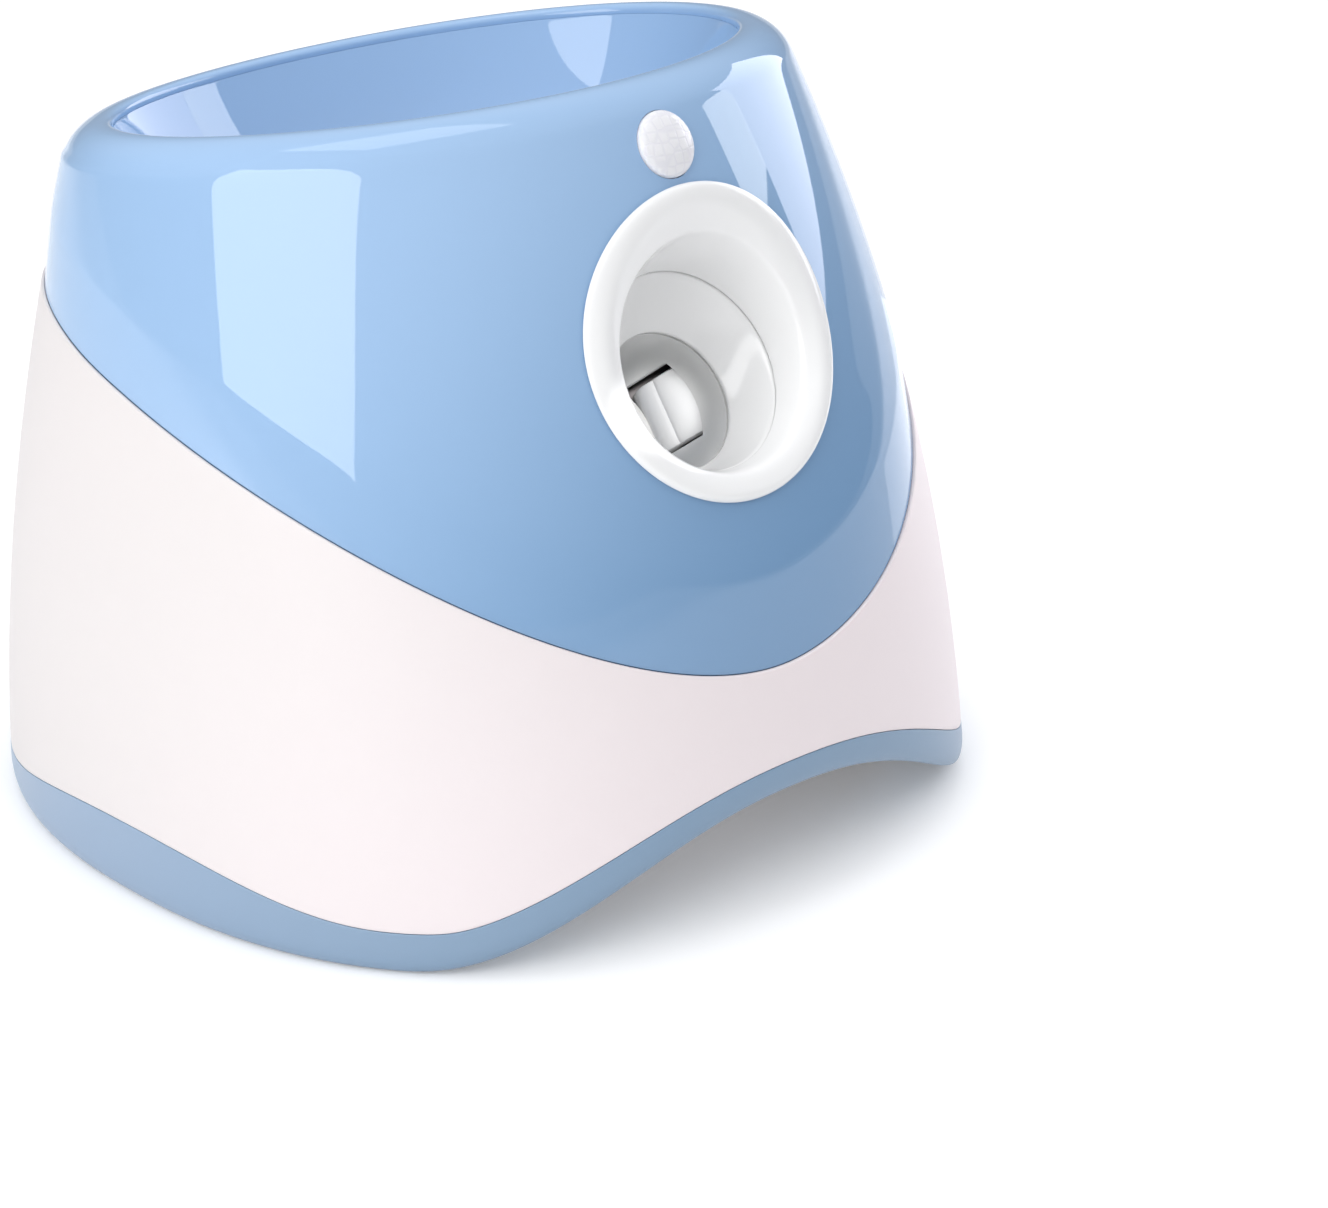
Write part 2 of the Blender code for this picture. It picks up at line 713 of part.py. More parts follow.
def ring_point(radius, turn, height):
    return ring_frame() @ Vector((radius * cos(turn), radius * sin(turn), height))


def lip_point(radius, turn, height):
    """A point of the lip, in a plane that bends half as much as the body does."""
    bend = (ring_skin(radius, turn) - ring_skin(radius, pi / 4)) / 2
    frame = ring_frame()
    return frame @ Vector((radius * cos(turn), radius * sin(turn) - LIP_DROP, LIP_ADVANCE + bend + height))


def disc_point(radius, turn, height=0.0):
    return disc_frame() @ Vector((radius * cos(turn), radius * sin(turn), height))


def make_muzzle_ring():
    """White bezel that follows the body, with a rounded lip and a cone down to the funnel."""
    columns = []
    for k in range(RING_COLUMNS):
        turn = 2 * pi * k / RING_COLUMNS
        edge = ring_skin(RING_RADIUS, turn)
        collar = ring_skin(RING_COLLAR_RADIUS, turn)
        round_in = RING_RADIUS - RING_EDGE_ROUND
        crown = (RING_RADIUS + LIP_RADIUS) / 2
        crown_skin = ring_skin(crown, turn)
        lip_out = LIP_RADIUS + LIP_ROUND
        column = [ring_point(RING_RADIUS, turn, edge + FIT),
                  ring_point(RING_RADIUS, turn, edge + RING_EDGE_HEIGHT / 2),
                  ring_point(RING_RADIUS - RING_EDGE_ROUND / 3, turn, edge + RING_EDGE_HEIGHT),
                  ring_point(round_in, turn, edge + RING_EDGE_HEIGHT + RING_CROWN / 2),
                  (ring_point(crown, turn, crown_skin + RING_EDGE_HEIGHT + RING_CROWN)
                   + lip_point(crown, turn, RING_EDGE_HEIGHT)) / 2,
                  lip_point(lip_out, turn, RING_CROWN / 2),
                  lip_point(LIP_RADIUS + LIP_ROUND / 3, turn, 0),
                  lip_point(LIP_RADIUS, turn, -RING_CROWN),
                  disc_point(DISC_RADIUS, turn),
                  disc_point(DISC_RADIUS + FUNNEL_WALL, turn),
                  lip_point(LIP_RADIUS + FUNNEL_WALL, turn, -RING_COLLAR_DEPTH),
                  ring_point(RING_COLLAR_RADIUS, turn, collar - RING_COLLAR_DEPTH),
                  ring_point(RING_COLLAR_RADIUS, turn, collar + FIT)]
        columns.append(column)
    add_object("muzzle_ring", ring_mesh("muzzle_ring", columns), ABS_BRIGHT, 0.15)


def make_throat_funnel():
    """Funnel from the ring's cone to the round throat, set low of the ring's axis."""
    columns = []
    throat = throat_frame()
    for k in range(RING_COLUMNS):
        turn = 2 * pi * k / RING_COLUMNS
        way = Vector((cos(turn), sin(turn), 0))
        wide = disc_point(DISC_RADIUS, turn, -FIT)
        narrow = throat @ (THROAT_RADIUS * way)
        swell = (wide + narrow) / 2 - disc_frame().to_3x3() @ Vector((0, 0, FUNNEL_WALL))
        thick = disc_frame().to_3x3() @ Vector((0, 0, -FUNNEL_WALL))
        columns.append([disc_point(DISC_RADIUS + FUNNEL_WALL, turn, -FIT), wide, swell, narrow,
                        throat @ (THROAT_RADIUS * way + Vector((0, 0, -FUNNEL_WALL))),
                        throat @ ((THROAT_RADIUS + BARREL_WALL) * way + Vector((0, 0, -FUNNEL_WALL))),
                        swell + thick + disc_frame().to_3x3() @ (FUNNEL_WALL / 2 * way),
                        disc_point(DISC_RADIUS + FUNNEL_WALL, turn, -FIT - FUNNEL_WALL)])
    add_object("throat_funnel", ring_mesh("throat_funnel", columns), ABS_BRIGHT, 0.3)


def wheel_side():
    """Distance of a wheel's axle from the barrel's axis."""
    return BARREL_RADIUS - WHEEL_PROTRUSION + WHEEL_RADIUS


def make_barrel():
    """Barrel with a slot each side for the wheels, a feed opening on top and a slot for the pusher."""
    outer = BARREL_RADIUS + BARREL_WALL
    start = FUNNEL_WALL + FIT
    section = ((BARREL_RADIUS, -start), (outer, -start),
               (outer, -BARREL_LENGTH), (BARREL_RADIUS, -BARREL_LENGTH))
    mesh = turned_ring_mesh("barrel", section, throat_frame(), BARREL_SEGMENTS)
    barrel = add_object("barrel", mesh, ABS_GREY, 0.35)
    slot_rise = WHEEL_WIDTH + 2 * WHEEL_SLOT_GAP
    reach = wheel_side() - BARREL_RADIUS
    chord = (WHEEL_RADIUS ** 2 - reach ** 2) ** 0.5 + WHEEL_SLOT_END_GAP
    length = 2 * chord
    for side in (-1, 1):
        place = across_frame(in_barrel(WHEEL_DEPTH, WHEEL_RISE, side * outer))
        cut(barrel, box_mesh("wheel_slot", (outer, length, slot_rise), place))
    feed = ((BARREL_RADIUS, 0), (BARREL_RADIUS, 2 * outer))
    cut(barrel, turned_mesh("feed_opening", feed, across_frame(in_barrel(FEED_DEPTH)), FINE_SEGMENTS))
    slot_length = BARREL_LENGTH - PUSHER_SLOT_START + CUT_OVERRUN
    place = across_frame(in_barrel(PUSHER_SLOT_START + slot_length / 2, -outer))
    cut(barrel, box_mesh("pusher_slot", (PUSHER_SLOT_WIDTH, slot_length, outer), place))


def make_feed_tube():
    """Short tube from the hopper's outlet to the barrel's top, saddle cut over the barrel."""
    outer = FEED_RADIUS + FEED_WALL
    section = ((FEED_RADIUS, 0), (outer, 0), (outer, FEED_TOP_RISE), (FEED_RADIUS, FEED_TOP_RISE))
    place = across_frame(in_barrel(FEED_DEPTH))
    mesh = turned_ring_mesh("feed_tube", section, place, BARREL_SEGMENTS)
    tube = add_object("feed_tube", mesh, ABS_GREY, 0.35)
    radius = BARREL_RADIUS + BARREL_WALL + FIT
    saddle = ((radius, -2 * BARREL_LENGTH), (radius, BARREL_LENGTH))
    cut(tube, turned_mesh("saddle", saddle, throat_frame(), BARREL_SEGMENTS))


def make_hopper_bowl():
    """Hopper bowl hung from the rim, falling to a round outlet over the feed tube."""
    outlet = across_frame(in_barrel(FEED_DEPTH, FEED_TOP_RISE + FIT))
    inset = RIM_RADIUS + RIM_FLAT + RIM_INNER_RADIUS
    top = RIM_HEIGHT - RIM_INNER_RADIUS - FIT
    columns = []
    for k in range(BOWL_COLUMNS):
        angle = 2 * pi * k / BOWL_COLUMNS
        start = at_rise(top, angle, inset)
        turn = atan2(-cos(angle), sin(angle))
        end = outlet @ Vector((FEED_RADIUS * cos(turn), FEED_RADIUS * sin(turn), 0))
        inner = []
        outer = []
        for depth_share, reach_share in zip(BOWL_DEPTH_shares, BOWL_REACH_shares):
            point = Vector((start.x + (end.x - start.x) * reach_share,
                            start.y + (end.y - start.y) * reach_share,
                            start.z + (end.z - start.z) * depth_share))
            inner.append(point)
        for here, point in enumerate(inner):
            before = inner[max(here - 1, 0)]
            after = inner[min(here + 1, len(inner) - 1)]
            run = after - before
            way = Vector((start.x - end.x, start.y - end.y, 0)).normalized()
            normal = Vector((-run.z * way.x, -run.z * way.y, run.x * way.x + run.y * way.y))
            normal = Vector((normal.x, normal.y, min(normal.z, 0.0)))
            outer.append(point + BOWL_WALL * normal.normalized())
        outer[0] = at_rise(top, angle, inset - BOWL_WALL)
        wide = FEED_RADIUS + FEED_WALL
        outer[-1] = outlet @ Vector((wide * cos(turn), wide * sin(turn), 0))
        columns.append(inner + outer[::-1])
    add_object("hopper_bowl", ring_mesh("hopper_bowl", columns), ABS_BLUE, 0.2)


def wheel_outline(inset):
    """Lobed rim of a launch wheel."""
    points = []
    steps = len(LOBE_SWELL_shares) * WHEEL_LOBES
    for k in range(steps):
        angle = 2 * pi * k / steps
        swell = LOBE_SWELL_shares[k % len(LOBE_SWELL_shares)]
        radius = WHEEL_RADIUS - WHEEL_LOBE_HEIGHT * (1 - swell) - inset
        points.append((radius * cos(angle), radius * sin(angle)))
    return points


def make_wheel(side_name, side):
    """One launch wheel with its shaft, motor and bracket, on an axle square to the barrel."""
    axle = in_barrel(WHEEL_DEPTH, WHEEL_RISE, side * wheel_side())
    place = across_frame(axle)
    half = WHEEL_WIDTH / 2
    loops = []
    for height, inset in ((-half, FILLET), (-half + FILLET, 0), (half - FILLET, 0), (half, FILLET)):
        loops.append([place @ Vector((x, y, height)) for x, y in wheel_outline(inset)])
    name = f"launch_wheel_{side_name}"
    wheel = add_object(name, stack_mesh(name, loops), ABS_BRIGHT, 0.45)
    inside = WHEEL_RADIUS - WHEEL_LOBE_HEIGHT - WHEEL_RIM_WALL
    for way in (-1, 1):
        face = way * WHEEL_WEB / 2
        past = way * (half + CUT_OVERRUN)
        recess = ((WHEEL_HUB_RADIUS, face), (inside, face), (inside, past), (WHEEL_HUB_RADIUS, past))
        cut(wheel, turned_ring_mesh("wheel_recess", recess, place, FINE_SEGMENTS))
    bore = SHAFT_RADIUS + FIT
    through = ((bore, -WHEEL_WIDTH), (bore, WHEEL_WIDTH))
    cut(wheel, turned_mesh("wheel_bore", through, place, SMALL_SEGMENTS))
    set_origin(wheel, axle)
    plate_top = -half - FILLET - 2 * FIT
    motor_top = plate_top - PLATE - FIT
    name = f"wheel_shaft_{side_name}"
    shaft = ((SHAFT_RADIUS, motor_top - SHAFT_ENTRY), (SHAFT_RADIUS, half + FILLET))
    set_origin(add_object(name, turned_mesh(name, shaft, place, SMALL_SEGMENTS), STEEL, 0.25, 1.0), axle)
    make_wheel_motor(f"wheel_motor_{side_name}", place, motor_top)
    make_motor_bracket(side_name, side, place, plate_top)


def make_wheel_motor(name, place, top):
    """Round motor under the bracket's plate, with a bore for the wheel's shaft."""
    low = top - MOTOR_LENGTH
    body = ((MOTOR_TAIL_RADIUS, low - MOTOR_TAIL_LENGTH), (MOTOR_TAIL_RADIUS, low),
            (MOTOR_RADIUS - MOTOR_CRIMP, low), (MOTOR_RADIUS, low + MOTOR_CRIMP), (MOTOR_RADIUS, top),
            (MOTOR_NOSE_RADIUS, top), (MOTOR_NOSE_RADIUS, top + MOTOR_NOSE_LENGTH))
    motor = add_object(name, turned_mesh(name, body, place, FINE_SEGMENTS), STEEL, 0.35, 1.0)
    bore = SHAFT_RADIUS + FIT
    hole = ((bore, top - SHAFT_ENTRY - FILLET), (bore, top + MOTOR_LENGTH))
    cut(motor, turned_mesh("motor_bore", hole, place, SMALL_SEGMENTS))


def leg_x(side):
    """Inner face of a motor bracket's leg."""
    return side * (wheel_side() + BRACKET_REACH)


def make_motor_bracket(side_name, side, place, plate_top):
    """Plate under the wheel that carries the motor, with a leg down to the floor plate."""
    name = f"motor_bracket_{side_name}"
    inner_x = side * (BARREL_RADIUS - FIT)
    outer_x = leg_x(side) + side * PLATE
    width = abs(outer_x - inner_x)
    centre = place @ Vector(((inner_x + outer_x) / 2 - side * wheel_side(), 0, plate_top - PLATE / 2))
    across = place.copy()
    across.translation = centre
    size = (width, 2 * BRACKET_HALF_DEPTH, PLATE)
    bracket = add_object(name, box_mesh(name, size, across), STEEL, 0.4, 1.0)
    floor = FLOOR_HEIGHT + FLOOR_THICKNESS + FIT
    rise = WHEEL_RISE + plate_top - PLATE / 2
    front = in_barrel(WHEEL_DEPTH - BRACKET_HALF_DEPTH, rise)
    rear = in_barrel(WHEEL_DEPTH + BRACKET_HALF_DEPTH, rise)
    middle = (front.y + rear.y) / 2
    foot_front = middle - BRACKET_FOOT_LENGTH / 2
    foot_rear = middle + BRACKET_FOOT_LENGTH / 2
    outline = ((front.y, front.z), (foot_front, floor), (foot_rear, floor), (rear.y, rear.z))
    low, high = sorted((leg_x(side), outer_x))
    weld(bracket, prism_mesh("leg", outline, low, high, side_frame(0)))
    flange_x = outer_x + side * FOOT_FLANGE_WIDTH / 2 - side * PLATE / 2
    size = (FOOT_FLANGE_WIDTH + PLATE, BRACKET_FOOT_LENGTH, PLATE)
    weld(bracket, box_mesh("flange", size, Matrix.Translation((flange_x, middle, floor + PLATE / 2))))
    opening = MOTOR_NOSE_RADIUS + FIT
    cut(bracket, turned_mesh("nose_hole", ((opening, plate_top - 2 * PLATE), (opening, plate_top + PLATE)),
                             place, SEGMENTS))
    drill_floor(bracket, bracket_screw_place(side))


def bracket_screw_place(side):
    middle = in_barrel(WHEEL_DEPTH, WHEEL_RISE - WHEEL_WIDTH / 2 - PLATE).y
    return leg_x(side) + side * (PLATE + FOOT_FLANGE_WIDTH / 2), middle


def stand_screw_place(side):
    return side * (STAND_SPREAD + PLATE / 2 + FOOT_FLANGE_WIDTH / 2), STAND_FOOT_FRONT_Y + FOOT_FLANGE_WIDTH


def flange_screw_places():
    """Places of the screws that hold the stands and brackets down."""
    places = []
    for side in (-1, 1):
        places += [stand_screw_place(side), bracket_screw_place(side)]
    return places


def make_stand(side_name, side):
    """One of the two plates that carry the barrel and the pusher's shaft."""
    name = f"barrel_stand_{side_name}"
    outer = BARREL_RADIUS + BARREL_WALL + FIT
    drop = -((outer ** 2 - (STAND_SPREAD - PLATE / 2) ** 2) ** 0.5)
    front = in_barrel(STAND_FRONT_DEPTH, drop)
    rear = in_barrel(STAND_REAR_DEPTH, drop)
    floor = FLOOR_HEIGHT + FLOOR_THICKNESS + FIT
    outline = ((STAND_FOOT_FRONT_Y, floor), (STAND_FOOT_REAR_Y, floor),
               (rear.y, rear.z), (front.y, front.z))
    middle = side * STAND_SPREAD
    mesh = prism_mesh(name, outline, middle - PLATE / 2, middle + PLATE / 2, side_frame(0))
    stand = add_object(name, mesh, STEEL, 0.4, 1.0)
    length = STAND_FLANGE_LENGTH
    flange_x = middle + side * (PLATE / 2 + FOOT_FLANGE_WIDTH / 2 - PLATE / 2)
    centre = (flange_x, STAND_FOOT_FRONT_Y + length / 2, floor + PLATE / 2)
    weld(stand, box_mesh("flange", (FOOT_FLANGE_WIDTH + PLATE, length, PLATE), Matrix.Translation(centre)))
    shaft = PUSHER_SHAFT_RADIUS + FIT
    hole = ((shaft, -2 * STAND_SPREAD), (shaft, 2 * STAND_SPREAD))
    cut(stand, turned_mesh("shaft_hole", hole, pusher_axis_frame(), SEGMENTS))
    drill_floor(stand, stand_screw_place(side))


def make_screw(name, place, length):
    """A pan head screw: the head sits above its place and the shank runs down."""
    head = SCREW_HEAD_RADIUS
    profile = ((SCREW_RADIUS, -length), (SCREW_RADIUS, FIT), (head, FIT),
               (head, FIT + SCREW_HEAD_HEIGHT / 2), (head / 2, FIT + SCREW_HEAD_HEIGHT))
    add_object(name, turned_mesh(name, profile, place, SMALL_SEGMENTS), STEEL, 0.3, 1.0)


def make_flange_screws():
    top = FLOOR_HEIGHT + FLOOR_THICKNESS + FIT + PLATE
    names = ("stand_screw_left", "bracket_screw_left", "stand_screw_right", "bracket_screw_right")
    for name, (x, y) in zip(names, flange_screw_places()):
        make_screw(name, Matrix.Translation((x, y, top)), PLATE + FLOOR_THICKNESS)


def pusher_axis():
    return in_barrel(PUSHER_DEPTH, -PUSHER_DROP)


def pusher_axis_frame():
    """Frame on the pusher's axis: local Z is the body's X, local X its Y and local Y its Z."""
    frame = side_frame(0)
    frame.translation = pusher_axis()
    return frame


def make_pusher():
    """Feed pusher: a hub and an arm with a round pad that stands behind the waiting ball."""
    axis = pusher_axis()
    place = pusher_axis_frame()
    pad_back = in_barrel(PUSHER_PAD_DEPTH + PUSHER_PAD_THICKNESS)
    reach = pad_back - axis
    run = hypot(reach.y, reach.z)
    lean = atan2(reach.z, reach.y)
    half = PUSHER_ARM_WIDTH / 2
    hub = PUSHER_HUB_RADIUS
    outline = arc(0, 0, hub, pi / 4, 2 * pi - pi / 4, 16) + [(run, -half), (run, half)]
    turned = [(x * cos(lean) - y * sin(lean), x * sin(lean) + y * cos(lean)) for x, y in outline]
    thick = PUSHER_ARM_THICKNESS / 2
    mesh = prism_mesh("feed_pusher", turned, -thick, thick, place)
    pusher = add_object("feed_pusher", mesh, ABS_BRIGHT, 0.4)
    rim = PUSHER_PAD_RADIUS
    pad = ((rim - FILLET, -PUSHER_PAD_THICKNESS), (rim, FILLET - PUSHER_PAD_THICKNESS),
           (rim, -FILLET), (rim - FILLET, 0))
    weld(pusher, turned_mesh("pad", pad, tilted_frame(in_barrel(PUSHER_PAD_DEPTH), LAUNCH_TILT), SEGMENTS))
    bore = PUSHER_SHAFT_RADIUS + FIT
    cut(pusher, turned_mesh("bore", ((bore, -STAND_SPREAD), (bore, STAND_SPREAD)), place, SEGMENTS))
    set_origin(pusher, axis)
    shaft = ((PUSHER_SHAFT_RADIUS, -STAND_SPREAD - PLATE), (PUSHER_SHAFT_RADIUS, gear_high() + FIT))
    mesh = turned_mesh("pusher_shaft", shaft, place, SMALL_SEGMENTS)
    set_origin(add_object("pusher_shaft", mesh, STEEL, 0.25, 1.0), axis)


def gear_low():
    return STAND_SPREAD + PLATE / 2 + FILLET


def gear_high():
    return gear_low() + GEAR_WIDTH


def tooth(centre, teeth):
    """Outline of one tooth, by its centre angle and the gear's number of teeth."""
    pitch = GEAR_MODULE * teeth / 2
    root = pitch - DEDENDUM_share * GEAR_MODULE
    tip = pitch + ADDENDUM_share * GEAR_MODULE
    half = (pi * GEAR_MODULE / 2 - GEAR_BACKLASH) / 2
    slope = tan(PRESSURE_ANGLE)
    points = []
    for radius in (root, pitch, tip):
        points.append((radius, (half - (radius - pitch) * slope) / radius))
    rising = [(radius, centre - spread) for radius, spread in points]
    falling = [(radius, centre + spread) for radius, spread in reversed(points)]
    return [(radius * cos(angle), radius * sin(angle)) for radius, angle in rising + falling]


def make_feed_gears():
    """Sector gear on the pusher's shaft and the pinion that drives it."""
    place = pusher_axis_frame()
    step = 2 * pi / SECTOR_TEETH
    outline = []
    first = PINION_DIRECTION - (SECTOR_CUT_TEETH - SECTOR_LEAD_TEETH - 1) * step
    for k in range(SECTOR_CUT_TEETH):
        outline += tooth(first + k * step, SECTOR_TEETH)
    last = first + (SECTOR_CUT_TEETH - 1) * step
    outline += arc(0, 0, SECTOR_HUB_RADIUS, last + pi / 3, first + 2 * pi - pi / 3, 10)
    mesh = prism_mesh("sector_gear", outline, gear_low(), gear_high(), place)
    gear = add_object("sector_gear", mesh, NYLON, 0.4)
    bore = PUSHER_SHAFT_RADIUS + FIT
    cut(gear, turned_mesh("bore", ((bore, 0), (bore, 2 * gear_high())), place, SEGMENTS))
    set_origin(gear, pusher_axis())

    centre = pinion_axis()
    place = pinion_frame()
    pitch_step = 2 * pi / PINION_TEETH
    outline = []
    for k in range(PINION_TEETH):
        outline += tooth(PINION_DIRECTION + pi + (k + 0.5) * pitch_step, PINION_TEETH)
    name = "feed_pinion"
    pinion = add_object(name, prism_mesh(name, outline, gear_low(), gear_high(), place), NYLON, 0.4)
    bore = PINION_SHAFT_RADIUS + FIT
    cut(pinion, turned_mesh("bore", ((bore, 0), (bore, 2 * gear_high())), place, SMALL_SEGMENTS))
    set_origin(pinion, centre)
    name = "feed_motor_shaft"
    shaft = ((PINION_SHAFT_RADIUS, gear_low()), (PINION_SHAFT_RADIUS, motor_face() + SHAFT_ENTRY))
    set_origin(add_object(name, turned_mesh(name, shaft, place, SMALL_SEGMENTS), STEEL, 0.25, 1.0), centre)


def pinion_axis():
    reach = GEAR_MODULE * (SECTOR_TEETH + PINION_TEETH) / 2
    axis = pusher_axis()
    return axis + Vector((0, reach * cos(PINION_DIRECTION), reach * sin(PINION_DIRECTION)))


def pinion_frame():
    frame = side_frame(0)
    frame.translation = pinion_axis()
    return frame


def motor_face():
    """Inner face of the feed motor, against its bracket."""
    return gear_high() + FILLET + PLATE + FIT


def make_feed_motor():
    """Geared feed motor on an L-shaped bracket."""
    place = pinion_frame() @ Matrix.Translation((0, 0, motor_face() + FEED_MOTOR_LENGTH / 2))
    size = (FEED_MOTOR_WIDTH, FEED_MOTOR_WIDTH, FEED_MOTOR_LENGTH)
    motor = add_object("feed_motor", box_mesh("feed_motor", size, place), RUBBER_DARK, 0.5)
    bevel_edges(motor, FEED_MOTOR_BEVEL)
    hole = PINION_SHAFT_RADIUS + FIT
    depth = ((hole, 0), (hole, motor_face() + SHAFT_ENTRY + FILLET))
    cut(motor, turned_mesh("bore", depth, pinion_frame(), SMALL_SEGMENTS))

    centre = pinion_axis()
    floor = FLOOR_HEIGHT + FLOOR_THICKNESS + FIT
    half = FEED_MOTOR_WIDTH / 2
    outline = ((centre.y - half, floor), (centre.y + half, floor),
               (centre.y + half, centre.z + half), (centre.y - half, centre.z + half))
    low = motor_face() - FIT - PLATE
    mesh = prism_mesh("feed_motor_bracket", outline, low, low + PLATE, side_frame(0))
    bracket = add_object("feed_motor_bracket", mesh, STEEL, 0.4, 1.0)
    size = (FEED_MOTOR_LENGTH, FEED_MOTOR_WIDTH, PLATE)
    foot = Matrix.Translation((low + FEED_MOTOR_LENGTH / 2, centre.y, floor + PLATE / 2))
    weld(bracket, box_mesh("foot", size, foot))
    through = ((hole, 0), (hole, 2 * motor_face()))
    cut(bracket, turned_mesh("shaft_hole", through, pinion_frame(), SMALL_SEGMENTS))


def make_battery_bay():
    """Battery box over the floor plate's opening, six round cells and the door under them."""
    length, width = bay_size()
    floor = FLOOR_HEIGHT + FLOOR_THICKNESS + FIT
    inside_top = FLOOR_HEIGHT + 2 * CELL_RADIUS + 2 * FIT
    tall = inside_top - floor
    centre = Vector((0, BAY_CENTRE_Y, floor + (tall + BAY_WALL) / 2))
    size = (length + 2 * BAY_WALL, width + 2 * BAY_WALL, tall + BAY_WALL)
    mesh = box_mesh("battery_box", size, Matrix.Translation(centre))
    box = add_object("battery_box", mesh, ABS_GREY, 0.5)
    hollow = Matrix.Translation(centre - Vector((0, 0, BAY_WALL)))
    cut(box, box_mesh("hollow", (length, width, tall + BAY_WALL), hollow))
    nub = CELL_NUB_LENGTH
    body = ((CELL_RADIUS, 0), (CELL_RADIUS, CELL_LENGTH - FILLET), (CELL_RADIUS - FILLET, CELL_LENGTH),
            (CELL_NUB_RADIUS, CELL_LENGTH), (CELL_NUB_RADIUS, CELL_LENGTH + nub))
    for row in range(3):
        y = BAY_CENTRE_Y + (row - 1) * (2 * CELL_RADIUS + CELL_GAP)
        for column in range(2):
            name = f"battery_cell_{2 * row + column + 1}"
            x = (column - 1) * (CELL_LENGTH + nub) + (column - 0.5) * 2 * FIT
            spot = Vector((x, y, FLOOR_HEIGHT + CELL_RADIUS))
            place = frame_from(spot, Vector((0, 1, 0)), Vector((0, 0, 1)), Vector((1, 0, 0)))
            add_object(name, turned_mesh(name, body, place, SMALL_SEGMENTS), CELL_BLACK, 0.35)
    size = (length + 2 * DOOR_MARGIN, width + 2 * DOOR_MARGIN, DOOR_THICKNESS)
    place = Matrix.Translation((0, BAY_CENTRE_Y, FLOOR_HEIGHT - FIT - DOOR_THICKNESS / 2))
    door = add_object("battery_door", box_mesh("battery_door", size, place), ABS_WHITE, 0.5)
    drill_floor(door, door_screw_place())
    spot = Vector((*door_screw_place(), FLOOR_HEIGHT - FIT - DOOR_THICKNESS))
    down = Matrix.Translation(spot) @ Matrix.Rotation(pi, 4, 'X')
    make_screw("battery_door_screw", down, DOOR_THICKNESS + FIT + FLOOR_THICKNESS)


def door_screw_place():
    length, width = bay_size()
    return 0.0, BAY_CENTRE_Y + width / 2 + DOOR_MARGIN / 2 + BAY_WALL / 2


def lens_frame():
    return skin_frame(LENS_HEIGHT, 0)


def make_motion_sensor():
    """Domed sensor lens in its hole over the muzzle, with the sensor's board behind it."""
    place = lens_frame()
    flange_top = -LENS_SKIRT
    outer = []
    inner = []
    for k in range(4):
        turn = pi / 2 * k / 4
        outer.append((LENS_RADIUS * cos(turn), LENS_DOME * sin(turn)))
    shrink = LENS_RADIUS - LENS_WALL
    for k in range(3):
        turn = pi / 2 * k / 3
        inner.append((shrink * cos(turn), (LENS_DOME - LENS_WALL) * sin(turn)))
    flange_low = flange_top - LENS_FLANGE
    profile = (inner[::-1]
               + [(shrink, flange_low), (LENS_FLANGE_RADIUS, flange_low), (LENS_FLANGE_RADIUS, flange_top),
                  (LENS_RADIUS, flange_top)] + outer)
    add_object("sensor_lens", turned_mesh("sensor_lens", profile, place, FINE_SEGMENTS), LENS_MILK, 0.25)
    top = flange_low - FIT
    board = ((SENSOR_BOARD_RADIUS, top - SENSOR_BOARD_THICKNESS), (SENSOR_BOARD_RADIUS, top),
             (SENSOR_CAN_RADIUS, top), (SENSOR_CAN_RADIUS, top + SENSOR_CAN_HEIGHT))
    add_object("sensor_board", turned_mesh("sensor_board", board, place, SEGMENTS), BOARD_GREEN, 0.5)


def panel_frame():
    return skin_frame(PANEL_HEIGHT, pi)


def make_button(name, x, radius):
    """A push button through the panel, with a step behind it that keeps it in."""
    place = panel_frame() @ Matrix.Translation((x, -CONTROL_ROW_DROP, 0))
    back = BUTTON_PROUD - BUTTON_LENGTH
    step_top = PANEL_PROUD - PANEL_THICKNESS - FIT
    profile = ((radius + BUTTON_STEP, back), (radius + BUTTON_STEP, step_top), (radius, step_top),
               (radius, BUTTON_PROUD - FILLET), (radius - FILLET, BUTTON_PROUD))
    add_object(name, turned_mesh(name, profile, place, SEGMENTS), ABS_BLUE, 0.35)
    set_origin(bpy.data.objects[name], place.translation.copy())


